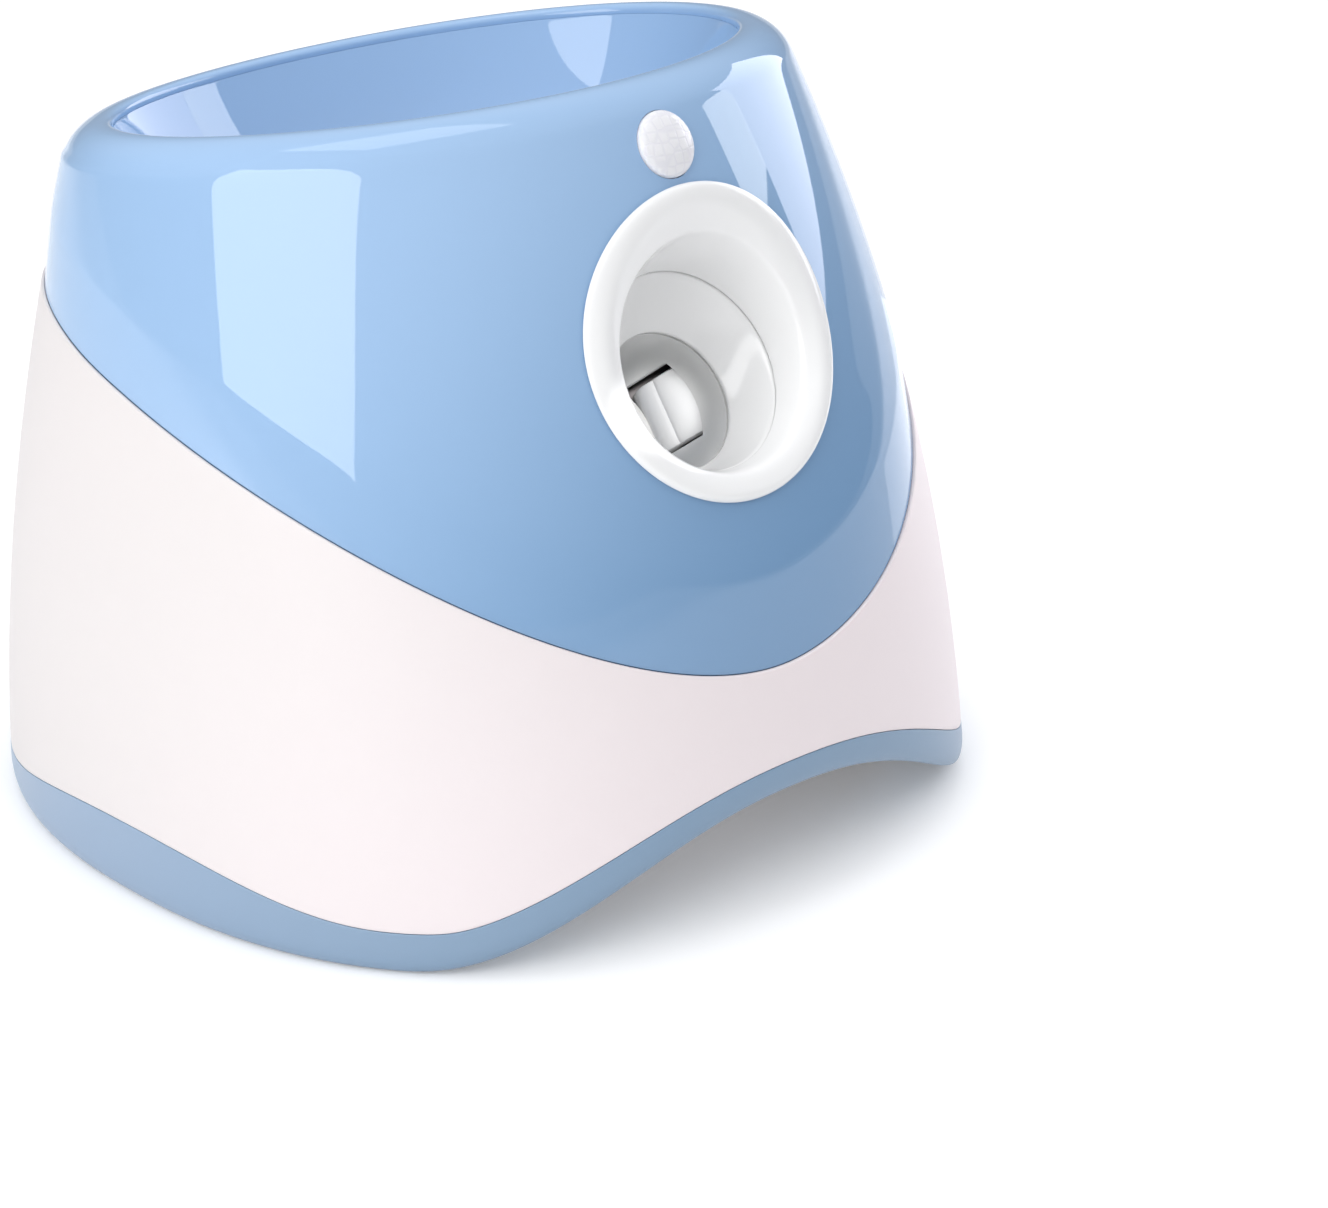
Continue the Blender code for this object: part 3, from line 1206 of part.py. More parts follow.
def make_control_panel():
    """Rear panel with its buttons, lamps, power socket and circuit board."""
    place = panel_frame()
    outline = rounded_outline(PANEL_WIDTH, PANEL_TALL, PANEL_CORNER)
    back = PANEL_PROUD - PANEL_THICKNESS
    mesh = prism_mesh("control_panel", outline, back, PANEL_PROUD, place)
    panel = add_object("control_panel", mesh, ABS_GREY, 0.4)
    pillar_end = back - PILLAR_LENGTH
    row = ((POWER_BUTTON_X, -CONTROL_ROW_DROP, POWER_BUTTON_RADIUS + BUTTON_GAP),
           (RANGE_BUTTON_X, -CONTROL_ROW_DROP, RANGE_BUTTON_RADIUS + BUTTON_GAP),
           (SOCKET_X, -CONTROL_ROW_DROP, SOCKET_RADIUS + FIT))
    for k in range(LED_COUNT):
        row += (((k - 1) * LED_PITCH, LED_RISE, LED_RADIUS + FIT),)
    for x, y, radius in row:
        hole = place @ Matrix.Translation((x, y, 0))
        cut(panel, turned_mesh("hole", ((radius, 2 * back), (radius, PANEL_THICKNESS)), hole, SEGMENTS))
    for side in (-1, 1):
        spot = place @ Matrix.Translation((side * PANEL_PILLAR_X, PANEL_PILLAR_RISE, 0))
        post = ((PILLAR_RADIUS, pillar_end), (PILLAR_RADIUS, back + FILLET))
        weld(panel, turned_mesh("pillar", post, spot, SMALL_SEGMENTS))
        bore = SCREW_RADIUS + FIT
        cut(panel, turned_mesh("pillar_bore", ((bore, 2 * pillar_end), (bore, back)), spot, SMALL_SEGMENTS))
        behind = Matrix.Translation((0, 0, pillar_end - FIT - BOARD_THICKNESS))
        down = spot @ behind @ Matrix.Rotation(pi, 4, 'X')
        name = "board_screw_right" if side < 0 else "board_screw_left"
        make_screw(name, down, BOARD_THICKNESS + PILLAR_LENGTH / 2)
    make_button("power_button", POWER_BUTTON_X, POWER_BUTTON_RADIUS)
    make_button("range_button", RANGE_BUTTON_X, RANGE_BUTTON_RADIUS)
    make_socket(place)
    lamp = ((LED_RADIUS, PANEL_PROUD - LED_LENGTH), (LED_RADIUS, PANEL_PROUD),
            (LED_RADIUS / 2, PANEL_PROUD + LED_RADIUS))
    for k in range(LED_COUNT):
        name = f"range_lamp_{k + 1}"
        spot = place @ Matrix.Translation(((k - 1) * LED_PITCH, LED_RISE, 0))
        add_object(name, turned_mesh(name, lamp, spot, SMALL_SEGMENTS), LED_GREEN, 0.2)
    make_control_board(place, pillar_end)


def make_socket(place):
    """Power inlet with a bore and a centre pin."""
    spot = place @ Matrix.Translation((SOCKET_X, -CONTROL_ROW_DROP, 0))
    face = PANEL_PROUD
    floor = face - SOCKET_DEPTH
    profile = ((SOCKET_RADIUS, face - SOCKET_LENGTH), (SOCKET_RADIUS, face),
               (SOCKET_BORE_RADIUS, face), (SOCKET_BORE_RADIUS, floor),
               (SOCKET_PIN_RADIUS, floor), (SOCKET_PIN_RADIUS, face - 2 * FILLET))
    add_object("power_socket", turned_mesh("power_socket", profile, spot, SEGMENTS), RUBBER_DARK, 0.4)


def make_control_board(place, pillar_end):
    """Circuit board on the panel's pillars, with a switch behind each button."""
    top = pillar_end - FIT
    spot = place @ Matrix.Translation((0, 0, top - BOARD_THICKNESS / 2))
    size = (PANEL_WIDTH - 2 * FILLET, PANEL_TALL - 2 * FILLET, BOARD_THICKNESS)
    board = add_object("control_board", box_mesh("control_board", size, spot), BOARD_GREEN, 0.5)
    switch_top = BUTTON_PROUD - BUTTON_LENGTH - BUTTON_TRAVEL - FIT
    for x in (POWER_BUTTON_X, RANGE_BUTTON_X):
        switch = ((SWITCH_RADIUS, top - BOARD_THICKNESS / 2), (SWITCH_RADIUS, switch_top))
        seat = place @ Matrix.Translation((x, -CONTROL_ROW_DROP, 0))
        weld(board, turned_mesh("switch", switch, seat, SMALL_SEGMENTS))
    for side in (-1, 1):
        seat = place @ Matrix.Translation((side * PANEL_PILLAR_X, PANEL_PILLAR_RISE, top))
        hole = ((SCREW_RADIUS + FIT, -2 * BOARD_THICKNESS), (SCREW_RADIUS + FIT, 2 * BOARD_THICKNESS))
        cut(board, turned_mesh("screw_hole", hole, seat, SMALL_SEGMENTS))


def main():
    clear_scene()
    make_upper_shell()
    make_lower_shell()
    make_base_skirt()
    make_floor_plate()
    make_feet()
    make_muzzle_ring()
    make_throat_funnel()
    make_barrel()
    make_feed_tube()
    make_hopper_bowl()
    make_wheel("left", -1)
    make_wheel("right", 1)
    make_stand("left", -1)
    make_stand("right", 1)
    make_flange_screws()
    make_pusher()
    make_feed_gears()
    make_feed_motor()
    make_battery_bay()
    make_motion_sensor()
    make_control_panel()


main()
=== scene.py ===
"""Looks of the automatic dog ball launcher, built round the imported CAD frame. Metres, +Z up."""

import json
from math import atan2, copysign, cos, hypot, pi, radians, sin, tan

import bmesh
import bpy
from mathutils import Matrix, Vector

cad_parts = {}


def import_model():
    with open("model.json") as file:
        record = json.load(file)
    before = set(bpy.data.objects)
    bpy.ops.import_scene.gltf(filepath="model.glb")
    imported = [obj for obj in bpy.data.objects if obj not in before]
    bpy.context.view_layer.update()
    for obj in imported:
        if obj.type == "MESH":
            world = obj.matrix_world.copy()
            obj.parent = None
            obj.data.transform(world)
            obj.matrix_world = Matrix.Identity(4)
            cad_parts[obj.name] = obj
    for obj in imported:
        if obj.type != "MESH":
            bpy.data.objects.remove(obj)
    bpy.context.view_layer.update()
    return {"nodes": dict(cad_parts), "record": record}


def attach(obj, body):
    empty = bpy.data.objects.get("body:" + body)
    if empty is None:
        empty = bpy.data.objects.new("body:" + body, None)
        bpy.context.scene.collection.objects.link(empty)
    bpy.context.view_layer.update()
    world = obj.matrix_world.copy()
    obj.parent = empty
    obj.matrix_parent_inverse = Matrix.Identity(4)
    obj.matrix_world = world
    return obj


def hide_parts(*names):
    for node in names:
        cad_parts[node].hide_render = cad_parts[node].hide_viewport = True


# Body outline, as in the part's own source
HALF_WIDTHS = (0.17589, 0.16910, 0.14257)
FRONTS = (0.17610, 0.14560, 0.08466)
REARS = (0.16970, 0.15930, 0.13089)
RIM_HEIGHT = 0.27139
RIM_TILT = radians(9.67)
SQUARENESS = (2.30, 2.0)
EGG = (-0.00184, 0.00720)

WALL = 0.0025
FIT = 0.0003
TONGUE = 0.005
EDGE = 0.0004
SEAM = 0.0001

RIM_RADIUS = 0.011
RIM_FLAT = 0.0015
RIM_INNER_RADIUS = 0.004

BIB_FRONT_HEIGHT = 0.08176
BIB_REAR_HEIGHT = 0.21349
BIB_SWEEP = 1.365
BIB_POWER = 0.772
BIB_STEP = 0.0012
# Rows of the blue shell over the bib's seam, and how much of the way to the rim they may take
BIB_ROWS = (0.0, EDGE, 3 * EDGE, 0.006, 0.014, 0.022, 0.0265, 0.0285, 0.030, 0.0315, 0.0335,
            0.038, 0.044, 0.052)
BIB_ROWS_SHARE = 0.80
BIB_FAR_ROWS = 9
LOWER_ROWS = 10
LIP_HOLD = 0.0002
CREASE_HEIGHT = 0.030
CREASE_BULGE = 0.0010
CREASE_FADE = 0.028
CREASE_SIDE_FADE = 0.090
CREASE_SIDE_ANGLES = (radians(22.0), radians(55.0))
CREASE_SOFTNESS = 0.0016
RIM_ALLOWANCE = 0.00012

FRONT_ARCH_HEIGHT = 0.04062
REAR_ARCH_HEIGHT = 0.0290
ARCH_SPREAD = radians(50.5)
ARCH_POWER = 0.953
TRIM_HEIGHT = 0.01505
TRIM_FRONT_RISE = 0.03600
TRIM_FRONT_SPREAD = radians(46.3)
TRIM_POWER = 0.740
TRIM_SIDE_RISE = 0.01418
TRIM_SIDE_SPREAD = radians(37.5)
TRIM_REAR_RISE = 0.01932
FOOT_EDGE_RADIUS = 0.0089
FOOT_EDGE_TUCK = 0.0035
FOOT_EDGE_SHARE = 0.8
GROUND_GAP = 0.0008
FLANGE_RISE = 0.003
FLANGE_WIDTH = 0.030
LEDGE_WIDTH = 0.003
FLOOR_HEIGHT = 0.052
FLOOR_THICKNESS = 0.003

# Muzzle: bezel, lip, disc, throat and barrel
RING_CENTRE_HEIGHT = 0.1999
RING_SINK = 0.0073
RING_TILT = radians(22.5)
RING_RADIUS = 0.057
RING_EDGE_HEIGHT = 0.0022
RING_TOP_TRIM = 0.0016
RING_CROWN = 0.0016
RING_EDGE_ROUND = 0.0022
LIP_RADIUS = 0.0417
LIP_ROUND = 0.0024
LIP_ADVANCE = 0.0013
LIP_DROP = 0.0042
COLLAR_RADIUS = 0.0475
RING_HOLE_RADIUS = 0.0485
RING_CLEARANCE = 0.0012
COLLAR_DEPTH = 0.006
LAUNCH_TILT = radians(37.0)
DISC_RADIUS = 0.0373
DISC_RECESS = 0.0149
DISC_DROP = 0.0089
THROAT_RADIUS = 0.026
THROAT_RECESS = 0.0285
THROAT_DROP = 0.0180
FUNNEL_WALL = 0.002
BARREL_WALL = 0.0025
BARREL_LENGTH = 0.092
CONE_SHARES = (0.12, 0.5, 0.93)
THROAT_EDGE_SHARE = 0.06

# Hopper outlet, feed tube and launch wheels
FEED_DEPTH = 0.062
FEED_RADIUS = 0.0265
FEED_WALL = 0.002
FEED_TOP_RISE = 0.047
PUSHER_SLOT_WIDTH = 0.013
PUSHER_SLOT_START = 0.056
WHEEL_DEPTH = 0.033
WHEEL_RISE = 0.0017
WHEEL_RADIUS = 0.034
WHEEL_WIDTH = 0.026
WHEEL_PROTRUSION = 0.0025
WHEEL_LOBES = 12
WHEEL_LOBE_HEIGHT = 0.0012
WHEEL_LOBE_POWER = 0.6
WHEEL_LOBE_STEPS = 16
WHEEL_EDGE = 0.0012
WHEEL_WEB = 0.008
WHEEL_RIM_WALL = 0.005
WHEEL_HUB_RADIUS = 0.006
WHEEL_SLOT_GAP = 0.0017
WHEEL_SLOT_END_GAP = 0.003
SHAFT_RADIUS = 0.0015
BOWL_WALL = 0.0022
BOWL_STEPS = 4
BOWL_SMOOTHING = 5
# The bowl's wall, as shares of the way down and of the way in from the rim to the outlet
BOWL_SHARES = ((0.0, 0.0), (0.16, 0.055), (0.42, 0.165), (0.66, 0.370), (0.86, 0.730), (1.0, 1.0))

# Sensor lens, drawn a little smaller than the solid, as in the photograph
LENS_HEIGHT = 0.2508
LENS_RADIUS = 0.0121
LENS_HOLE_RADIUS = 0.01235
LENS_DOME = 0.0042
LENS_WALL = 0.0010
LENS_SKIRT = 0.0042
LENS_FLANGE_RADIUS = 0.0150
LENS_FLANGE = 0.0012

# Rear panel. Buttons and socket are given as place across and radius
PANEL_HEIGHT = 0.115
PANEL_WIDTH = 0.064
PANEL_TALL = 0.032
PANEL_THICKNESS = 0.006
PANEL_PROUD = 0.0006
PANEL_CORNER = 0.006
PANEL_EDGE = 0.0003
BUTTON_GAP = 0.0004
BUTTON_PROUD = 0.0026
BUTTON_LENGTH = 0.0100
BUTTON_STEP = 0.0012
BUTTON_DOME = 0.001
BUTTON_ROUNDNESS = 0.35
CONTROL_ROW_DROP = 0.003
POWER_BUTTON = (-0.019, 0.0065)
RANGE_BUTTON = (0.0, 0.005)
SOCKET = (0.019, 0.004)
SOCKET_EDGE = 0.0003
SOCKET_BORE_RADIUS = 0.0028
SOCKET_DEPTH = 0.009
SOCKET_LENGTH = 0.012
SOCKET_PIN_RADIUS = 0.001
SOCKET_PIN_DROP = 0.0020
SOCKET_PIN_TIP = 0.0004
SOCKET_PIN_TAPER = 0.6
LAMP_RADIUS = 0.0015
LAMP_PITCH = 0.007
LAMP_RISE = 0.010

# Rubber feet. A pad's lower edge is shares of its radius, with heights
FOOT_PAD_RADIUS = 0.011
FOOT_PAD_INSET = 0.019
FOOT_PAD_EDGE = ((0.90, 0.0), (0.97, 0.0003), (1.0, 0.0010))
FOOT_PAD_ANGLES = (radians(62.0), radians(118.0))
FOOT_NAMES = ("foot_front_right", "foot_rear_right", "foot_front_left", "foot_rear_left")

# How finely pieces are drawn, and the rounds in which a place on the skin is found
BODY_COLUMNS = 96
TUBE_COLUMNS = 96
SMALL_COLUMNS = 40
HOLE_COLUMNS = 128
LENS_COLUMNS = 64
CORNER_STEPS = 8
ROLL_STEPS = 8
LIP_STEPS = 4
FOOT_STEPS = 5
LENS_STEPS = (12, 8)
BUTTON_STEPS = 6
SHARP_ANGLE = radians(35.0)
CREASED_ANGLE = radians(50.0)
CREASED_HOLD = 0.9
HEIGHT_ROUNDS = 12
SKIN_ROUNDS = 20
HALVINGS = 30

# Camera, fitted to the photograph, with its lens and sensor in millimetres
CAMERA_PLACE = (-0.97131, -1.09870, 0.70027)
CAMERA_RIGHT = (0.73234, -0.68086, 0.00991)
CAMERA_UP = (0.25857, 0.29153, 0.92095)
CAMERA_FORWARD = (0.62993, 0.67189, -0.38955)
CAMERA_LENS = 114.12
CAMERA_SENSOR = 36.0
CAMERA_SHIFT = (0.0514, -0.0340)
CAMERA_REACH = 50.0

# Plastics: drift of the colour, least roughness and depth of the moulded grain
PLASTIC_IOR = 1.5
COAT_ROUGHNESS = 0.03
DRIFT_SCALE = 14.0
DRIFT_DETAIL = 3.0
LEAST_ROUGHNESS = 0.02
GRAIN_DETAIL = 2.0
GRAIN_DEPTH = 0.0002
DRAWN_GRAIN_SCALE = 1600.0

# The skins' two colours, a painted light and shade, blend along this way across the part, between these two
# places on it
SHADE_WAY = (0.45, -0.75, -0.60)
SHADE_REACH = (-0.15, 0.09)

# Sensor lens: its milkiness, and the facets' scale, unevenness, groove, tints with painted shade in the
# grooves, and relief
MILK_SHARE = 0.4
MILK_SCALE = 0.004
MILK_RADIUS = (1.0, 0.9, 1.0)
FACET_SCALE = 260.0
FACET_UNEVENNESS = 0.35
FACET_GROOVE = 0.16
FACET_TINTS_AND_GROOVE_SHADE = ((0.89, 0.95), (0.87, 0.93), (0.95, 0.99))
FACET_RELIEF = 0.25
FACET_DEPTH = 0.0003

# Floor: size, albedo near and far, where it fades, polish, and lift in view
FLOOR_SIZE = 10.0
FLOOR_ALBEDOS = (0.88, 0.42)
FLOOR_FADE = (1.45, 2.60)
FLOOR_ROUGHNESS = 0.9
FLOOR_LIFT = 0.20

# Room: the band over the horizon where its brightness rises, and the brightness at both ends
ROOM_BAND = (0.10, 0.80)
ROOM_LEVELS = (0.26, 0.98)
ROOM_COLOUR = (0.97, 0.98, 1.0, 1)

# Soft boxes. A standing box lies between two azimuths in degrees and two heights
STANDING_BOXES = (
    dict(name="left_box", azimuths=(-120.5, -89.0), distance=2.1, heights=(0.35, 1.30), radiance=3.2,
         lean=radians(42.0), roll=radians(10.0)),
    dict(name="right_box", azimuths=(73.0, 107.0), distance=2.0, heights=(0.27, 1.30), radiance=3.2,
         colour=(0.90, 0.90, 1.0)),
    dict(name="side_box", azimuths=(107.0, 119.0), distance=2.0, heights=(0.60, 1.00), radiance=3.4))
LEVEL_BOXES = (
    dict(name="floor_card", centre=(0.66, 0.035, 0.003), out=(0, 0, 1), level=(0, 1, 0), size=(0.42, 0.36),
         radiance=0.6, colour=(0.92, 0.92, 1.0)),
    dict(name="top_box", centre=(0.0, 0.2, 2.4), out=(0, 0, -1), level=(1, 0, 0), size=(1.2, 1.0),
         radiance=1.6))

# Spot into the throat
SPOT_DISTANCE = 0.60
SPOT_ANGLE = radians(3.6)
SPOT_BLEND = 0.6
SPOT_RADIUS = 0.004
SPOT_POWER = 13.0
SPOT_SIDE = 0.006


def mix(pair, level):
    return pair[0] * (1 - level) + pair[1] * level


def blend3(sizes, level):
    """The quadratic through three sizes: at level 0, one half and 1."""
    base, middle, rim = sizes
    return (base * (1 - level) * (1 - 2 * level) + 4 * middle * level * (1 - level)
            + rim * level * (2 * level - 1))


def smooth_step(share):
    share = min(max(share, 0.0), 1.0)
    return share * share * (3 - 2 * share)


def bump_shape(angle, centre, spread, power=1):
    """A smooth bump round the body: 1 at its centre and 0 beyond its spread."""
    away = abs((angle - centre + pi) % (2 * pi) - pi)
    return (0.5 + 0.5 * cos(pi * min(away / spread, 1.0))) ** power


def plan_sizes(level, inset):
    return (blend3(HALF_WIDTHS, level) - inset, blend3(FRONTS, level) - inset, blend3(REARS, level) - inset,
            mix(SQUARENESS, level), mix(EGG, level))


def body_point(level, angle, inset=0.0):
    """A point of the outer skin, or of a skin inset from it. Level 1 is the tilted rim plane."""
    half, front, rear, square, egg = plan_sizes(level, inset)
    across = copysign(abs(sin(angle)) ** (2 / square), sin(angle))
    along = copysign(abs(cos(angle)) ** (2 / square), cos(angle))
    y = (rear - front) / 2 + egg - (rear + front) / 2 * along - egg * along ** 2
    return Vector((half * across, y, level * (RIM_HEIGHT - RIM_ALLOWANCE - tan(RIM_TILT) * y)))


def at_rise(rise, angle, inset=0.0):
    return body_point(rise / RIM_HEIGHT, angle, inset)


def at_height(height, angle, inset=0.0):
    level = height / RIM_HEIGHT
    for _ in range(HEIGHT_ROUNDS):
        level = height / (RIM_HEIGHT - tan(RIM_TILT) * body_point(level, angle, inset).y)
    return body_point(level, angle, inset)


def bib_seam(angle):
    turn = min(abs((angle + pi) % (2 * pi) - pi) * BIB_SWEEP, pi)
    return BIB_FRONT_HEIGHT + (BIB_REAR_HEIGHT - BIB_FRONT_HEIGHT) * ((1 - cos(turn)) / 2) ** BIB_POWER


def trim_seam(angle):
    side = bump_shape(angle, pi / 2, TRIM_SIDE_SPREAD) + bump_shape(angle, -pi / 2, TRIM_SIDE_SPREAD)
    return (TRIM_HEIGHT + TRIM_FRONT_RISE * bump_shape(angle, 0, TRIM_FRONT_SPREAD, TRIM_POWER)
            + TRIM_SIDE_RISE * side + TRIM_REAR_RISE * bump_shape(angle, pi, ARCH_SPREAD))


def bottom_edge(angle):
    return (FRONT_ARCH_HEIGHT * bump_shape(angle, 0, ARCH_SPREAD, ARCH_POWER)
            + REAR_ARCH_HEIGHT * bump_shape(angle, pi, ARCH_SPREAD))


def crease_fade(angle):
    """The height over which the swell above the crease dies away: short in front, long at the sides."""
    turn = abs((angle + pi) % (2 * pi) - pi)
    start, end = CREASE_SIDE_ANGLES
    return CREASE_FADE + CREASE_SIDE_FADE * smooth_step((turn - start) / (end - start))


def crease_inset(above, angle):
    """Inset of the blue shell at a height above the bib's seam: in at the seam and out at the crease."""
    if above < CREASE_HEIGHT:
        return BIB_STEP - (BIB_STEP + CREASE_BULGE) * above / CREASE_HEIGHT
    return -CREASE_BULGE * (1 - smooth_step((above - CREASE_HEIGHT) / crease_fade(angle)))


def bib_inset(above, angle):
    """The crease of the blue shell, softened over a short height."""
    samples = [crease_inset(above + CREASE_SOFTNESS * share, angle) for share in (-1.0, -0.5, 0.0, 0.5, 1.0)]
    return sum(samples) / len(samples)


def body_angles(count=BODY_COLUMNS):
    return [2 * pi * k / count for k in range(count)]


def quarter_turns(steps):
    """Angles from 0 to a quarter of a turn."""
    return [pi / 2 * k / steps for k in range(steps + 1)]


def front_skin_y(x, height):
    """Where the outer skin lies in front, at a place across and a height."""
    y = -FRONTS[1]
    for _ in range(SKIN_ROUNDS):
        level = height / (RIM_HEIGHT - tan(RIM_TILT) * y)
        half, front, rear, square, egg = plan_sizes(level, 0.0)
        along = (1 - min(abs(x) / half, 1.0) ** square) ** (1 / square)
        y = (rear - front) / 2 + egg - (rear + front) / 2 * along - egg * along ** 2
    return y


def frame_from(origin, x_way, y_way, z_way):
    matrix = Matrix((x_way, y_way, z_way)).transposed().to_4x4()
    matrix.translation = origin
    return matrix


def skin_frame(rise, angle):
    """A frame on the outer skin: local Z points out, local X runs level."""
    step = radians(0.5)
    level_way = (at_rise(rise, angle + step) - at_rise(rise, angle - step)).normalized()
    up_way = (at_rise(rise * (1 + step), angle) - at_rise(rise * (1 - step), angle)).normalized()
    out = level_way.cross(up_way).normalized()
    return frame_from(at_rise(rise, angle), level_way, out.cross(level_way), out)


def tilted_frame(origin, tilt):
    out = Vector((0, -cos(tilt), sin(tilt)))
    return frame_from(origin, Vector((1, 0, 0)), Vector((0, sin(tilt), cos(tilt))), out)


def ring_frame():
    origin = Vector((0, front_skin_y(0, RING_CENTRE_HEIGHT) + RING_SINK, RING_CENTRE_HEIGHT))
    return tilted_frame(origin, RING_TILT)


RING = ring_frame()
DISC = tilted_frame(RING @ Vector((0, -DISC_DROP, -DISC_RECESS)), LAUNCH_TILT)
THROAT = tilted_frame(RING @ Vector((0, -THROAT_DROP, -THROAT_RECESS)), LAUNCH_TILT)
LENS = skin_frame(LENS_HEIGHT, 0)
PANEL = skin_frame(PANEL_HEIGHT, pi)


def in_barrel(depth, rise=0.0, side=0.0):
    return THROAT @ Vector((side, rise, -depth))


def across_frame(origin):
    """A frame whose local Z points up square to the barrel, and whose local X runs across it."""
    up = Vector((0, sin(LAUNCH_TILT), cos(LAUNCH_TILT)))
    return frame_from(origin, Vector((1, 0, 0)), up.cross(Vector((1, 0, 0))), up)


def polar(place, radius, turn, height=0.0):
    """A point of a frame, from its radius, its angle and its height."""
    return place @ Vector((radius * cos(turn), radius * sin(turn), height))


def to_object(name, work):
    """Turn a bmesh into a linked object whose faces point out."""
    bmesh.ops.recalc_face_normals(work, faces=work.faces)
    if work.calc_volume(signed=True) < 0:
        bmesh.ops.reverse_faces(work, faces=work.faces)
    mesh = bpy.data.meshes.new(name)
    work.to_mesh(mesh)
    work.free()
    obj = bpy.data.objects.new(name, mesh)
    bpy.context.scene.collection.objects.link(obj)
    mesh.shade_smooth()
    return obj


def ring_piece(name, columns):
    """A ring-shaped solid from closed sections, joined all the way round."""
    work = bmesh.new()
    rows = [[work.verts.new(point) for point in column] for column in columns]
    for here, after in zip(rows, rows[1:] + rows[:1]):
        for k in range(len(here)):
            n = (k + 1) % len(here)
            work.faces.new((here[k], here[n], after[n], after[k]))
    return to_object(name, work)


def stack_piece(name, loops):
    """A solid skinned over a stack of loops, with its two ends closed."""
    work = bmesh.new()
    rows = [[work.verts.new(point) for point in loop] for loop in loops]
    for here, after in zip(rows, rows[1:]):
        for k in range(len(here)):
            n = (k + 1) % len(here)
            work.faces.new((here[k], here[n], after[n], after[k]))
    work.faces.new(rows[0])
    work.faces.new(rows[-1])
    return to_object(name, work)


def turned_piece(name, profile, place, count=SMALL_COLUMNS):
    """A solid turned about the local Z axis from (radius, height) points."""
    turns = body_angles(count)
    loops = [[polar(place, radius, turn, height) for turn in turns] for radius, height in profile]
    return stack_piece(name, loops)


def turned_ring(name, section, place, count=SMALL_COLUMNS):
    """A ring turned about the local Z axis from a closed section of (radius, height) points."""
    columns = [[polar(place, radius, turn, height) for radius, height in section]
               for turn in body_angles(count)]
    return ring_piece(name, columns)


def prism(name, outline, place, low, high):
    """A solid with an outline of a frame's X and Y, between two heights."""
    return stack_piece(name, [[place @ Vector((x, y, z)) for x, y in outline] for z in (low, high)])


def box_piece(name, size, place):
    half_x, half_y, half_z = (length / 2 for length in size)
    outline = ((-half_x, -half_y), (half_x, -half_y), (half_x, half_y), (-half_x, half_y))
    return prism(name, outline, place, -half_z, half_z)


def divide(obj, levels):
    modifier = obj.modifiers.new("smooth", 'SUBSURF')
    modifier.levels = levels
    modifier.render_levels = levels


def cut(obj, tool):
    """Cut a tool out of a piece when it settles."""
    modifier = obj.modifiers.new("cut", 'BOOLEAN')
    modifier.operation = 'DIFFERENCE'
    modifier.solver = 'EXACT'
    modifier.object = tool


def bore(obj, place, radius, low, high, count=SMALL_COLUMNS):
    """Cut a round hole along a frame's local Z between two heights."""
    cut(obj, turned_piece("bore_tool", ((radius, low), (radius, high)), place, count))


def round_edges(obj, width, segments=3):
    modifier = obj.modifiers.new("edges", 'BEVEL')
    modifier.width = width
    modifier.segments = segments
    modifier.limit_method = 'ANGLE'


def settle(obj):
    """Apply the modifiers, drop the cutting tools and keep the sharp edges sharp."""
    tools = [modifier.object for modifier in obj.modifiers if modifier.type == 'BOOLEAN']
    graph = bpy.context.evaluated_depsgraph_get()
    mesh = bpy.data.meshes.new_from_object(obj.evaluated_get(graph))
    mesh.name = obj.name
    obj.modifiers.clear()
    obj.data = mesh
    mesh.shade_smooth()
    mesh.set_sharp_from_angle(angle=SHARP_ANGLE)
    for tool in tools:
        bpy.data.objects.remove(tool, do_unlink=True)


def dress(obj, finishes, slot, body, *nodes):
    """Settle and finish a piece. It rides on its body and stands for its CAD nodes."""
    settle(obj)
    obj.data.materials.clear()
    obj.data.materials.append(finishes[slot])
    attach(obj, body)
    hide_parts(*nodes)


def fill(node, values):
    """Set a node's inputs by name."""
    for name, value in values.items():
        node.inputs[name].default_value = value


def map_range(tree, value, start, end=(0, 1), way='SMOOTHSTEP'):
    """Map a value from one range to another."""
    node = tree.nodes.new("ShaderNodeMapRange")
    node.interpolation_type = way
    fill(node, {"From Min": start[0], "From Max": start[1], "To Min": end[0], "To Max": end[1]})
    tree.links.new(value, node.inputs["Value"])
    return node.outputs["Result"]


def noise(tree, place, scale, detail):
    """Noise over the part's own coordinates."""
    texture = tree.nodes.new("ShaderNodeTexNoise")
    fill(texture, {"Scale": scale, "Detail": detail})
    tree.links.new(place.outputs["Object"], texture.inputs["Vector"])
    return texture.outputs["Fac"]


def colour_mix(tree, channels, factor):
    """A colour that runs between the two ends of each channel as the factor runs from 0 to 1."""
    node = tree.nodes.new("ShaderNodeMix")
    node.data_type = 'RGBA'
    node.inputs["A"].default_value = (*[low for low, _ in channels], 1)
    node.inputs["B"].default_value = (*[min(high, 1) for _, high in channels], 1)
    tree.links.new(factor, node.inputs["Factor"])
    return node.outputs["Result"]


def mottled(tree, colour, mottle, drift):
    """A colour that drifts a little darker and lighter."""
    return colour_mix(tree, [(channel * (1 - mottle), channel * (1 + mottle)) for channel in colour], drift)


def paint_light_across(tree, place, near, far):
    """Paint light and shade: blend two colours across the part, from its left side to its front."""
    along = tree.nodes.new("ShaderNodeVectorMath")
    along.operation = 'DOT_PRODUCT'
    along.inputs[1].default_value = SHADE_WAY
    tree.links.new(place.outputs["Object"], along.inputs[0])
    node = tree.nodes.new("ShaderNodeMix")
    node.data_type = 'RGBA'
    tree.links.new(map_range(tree, along.outputs["Value"], SHADE_REACH), node.inputs["Factor"])
    tree.links.new(near, node.inputs["A"])
    tree.links.new(far, node.inputs["B"])
    return node.outputs["Result"]


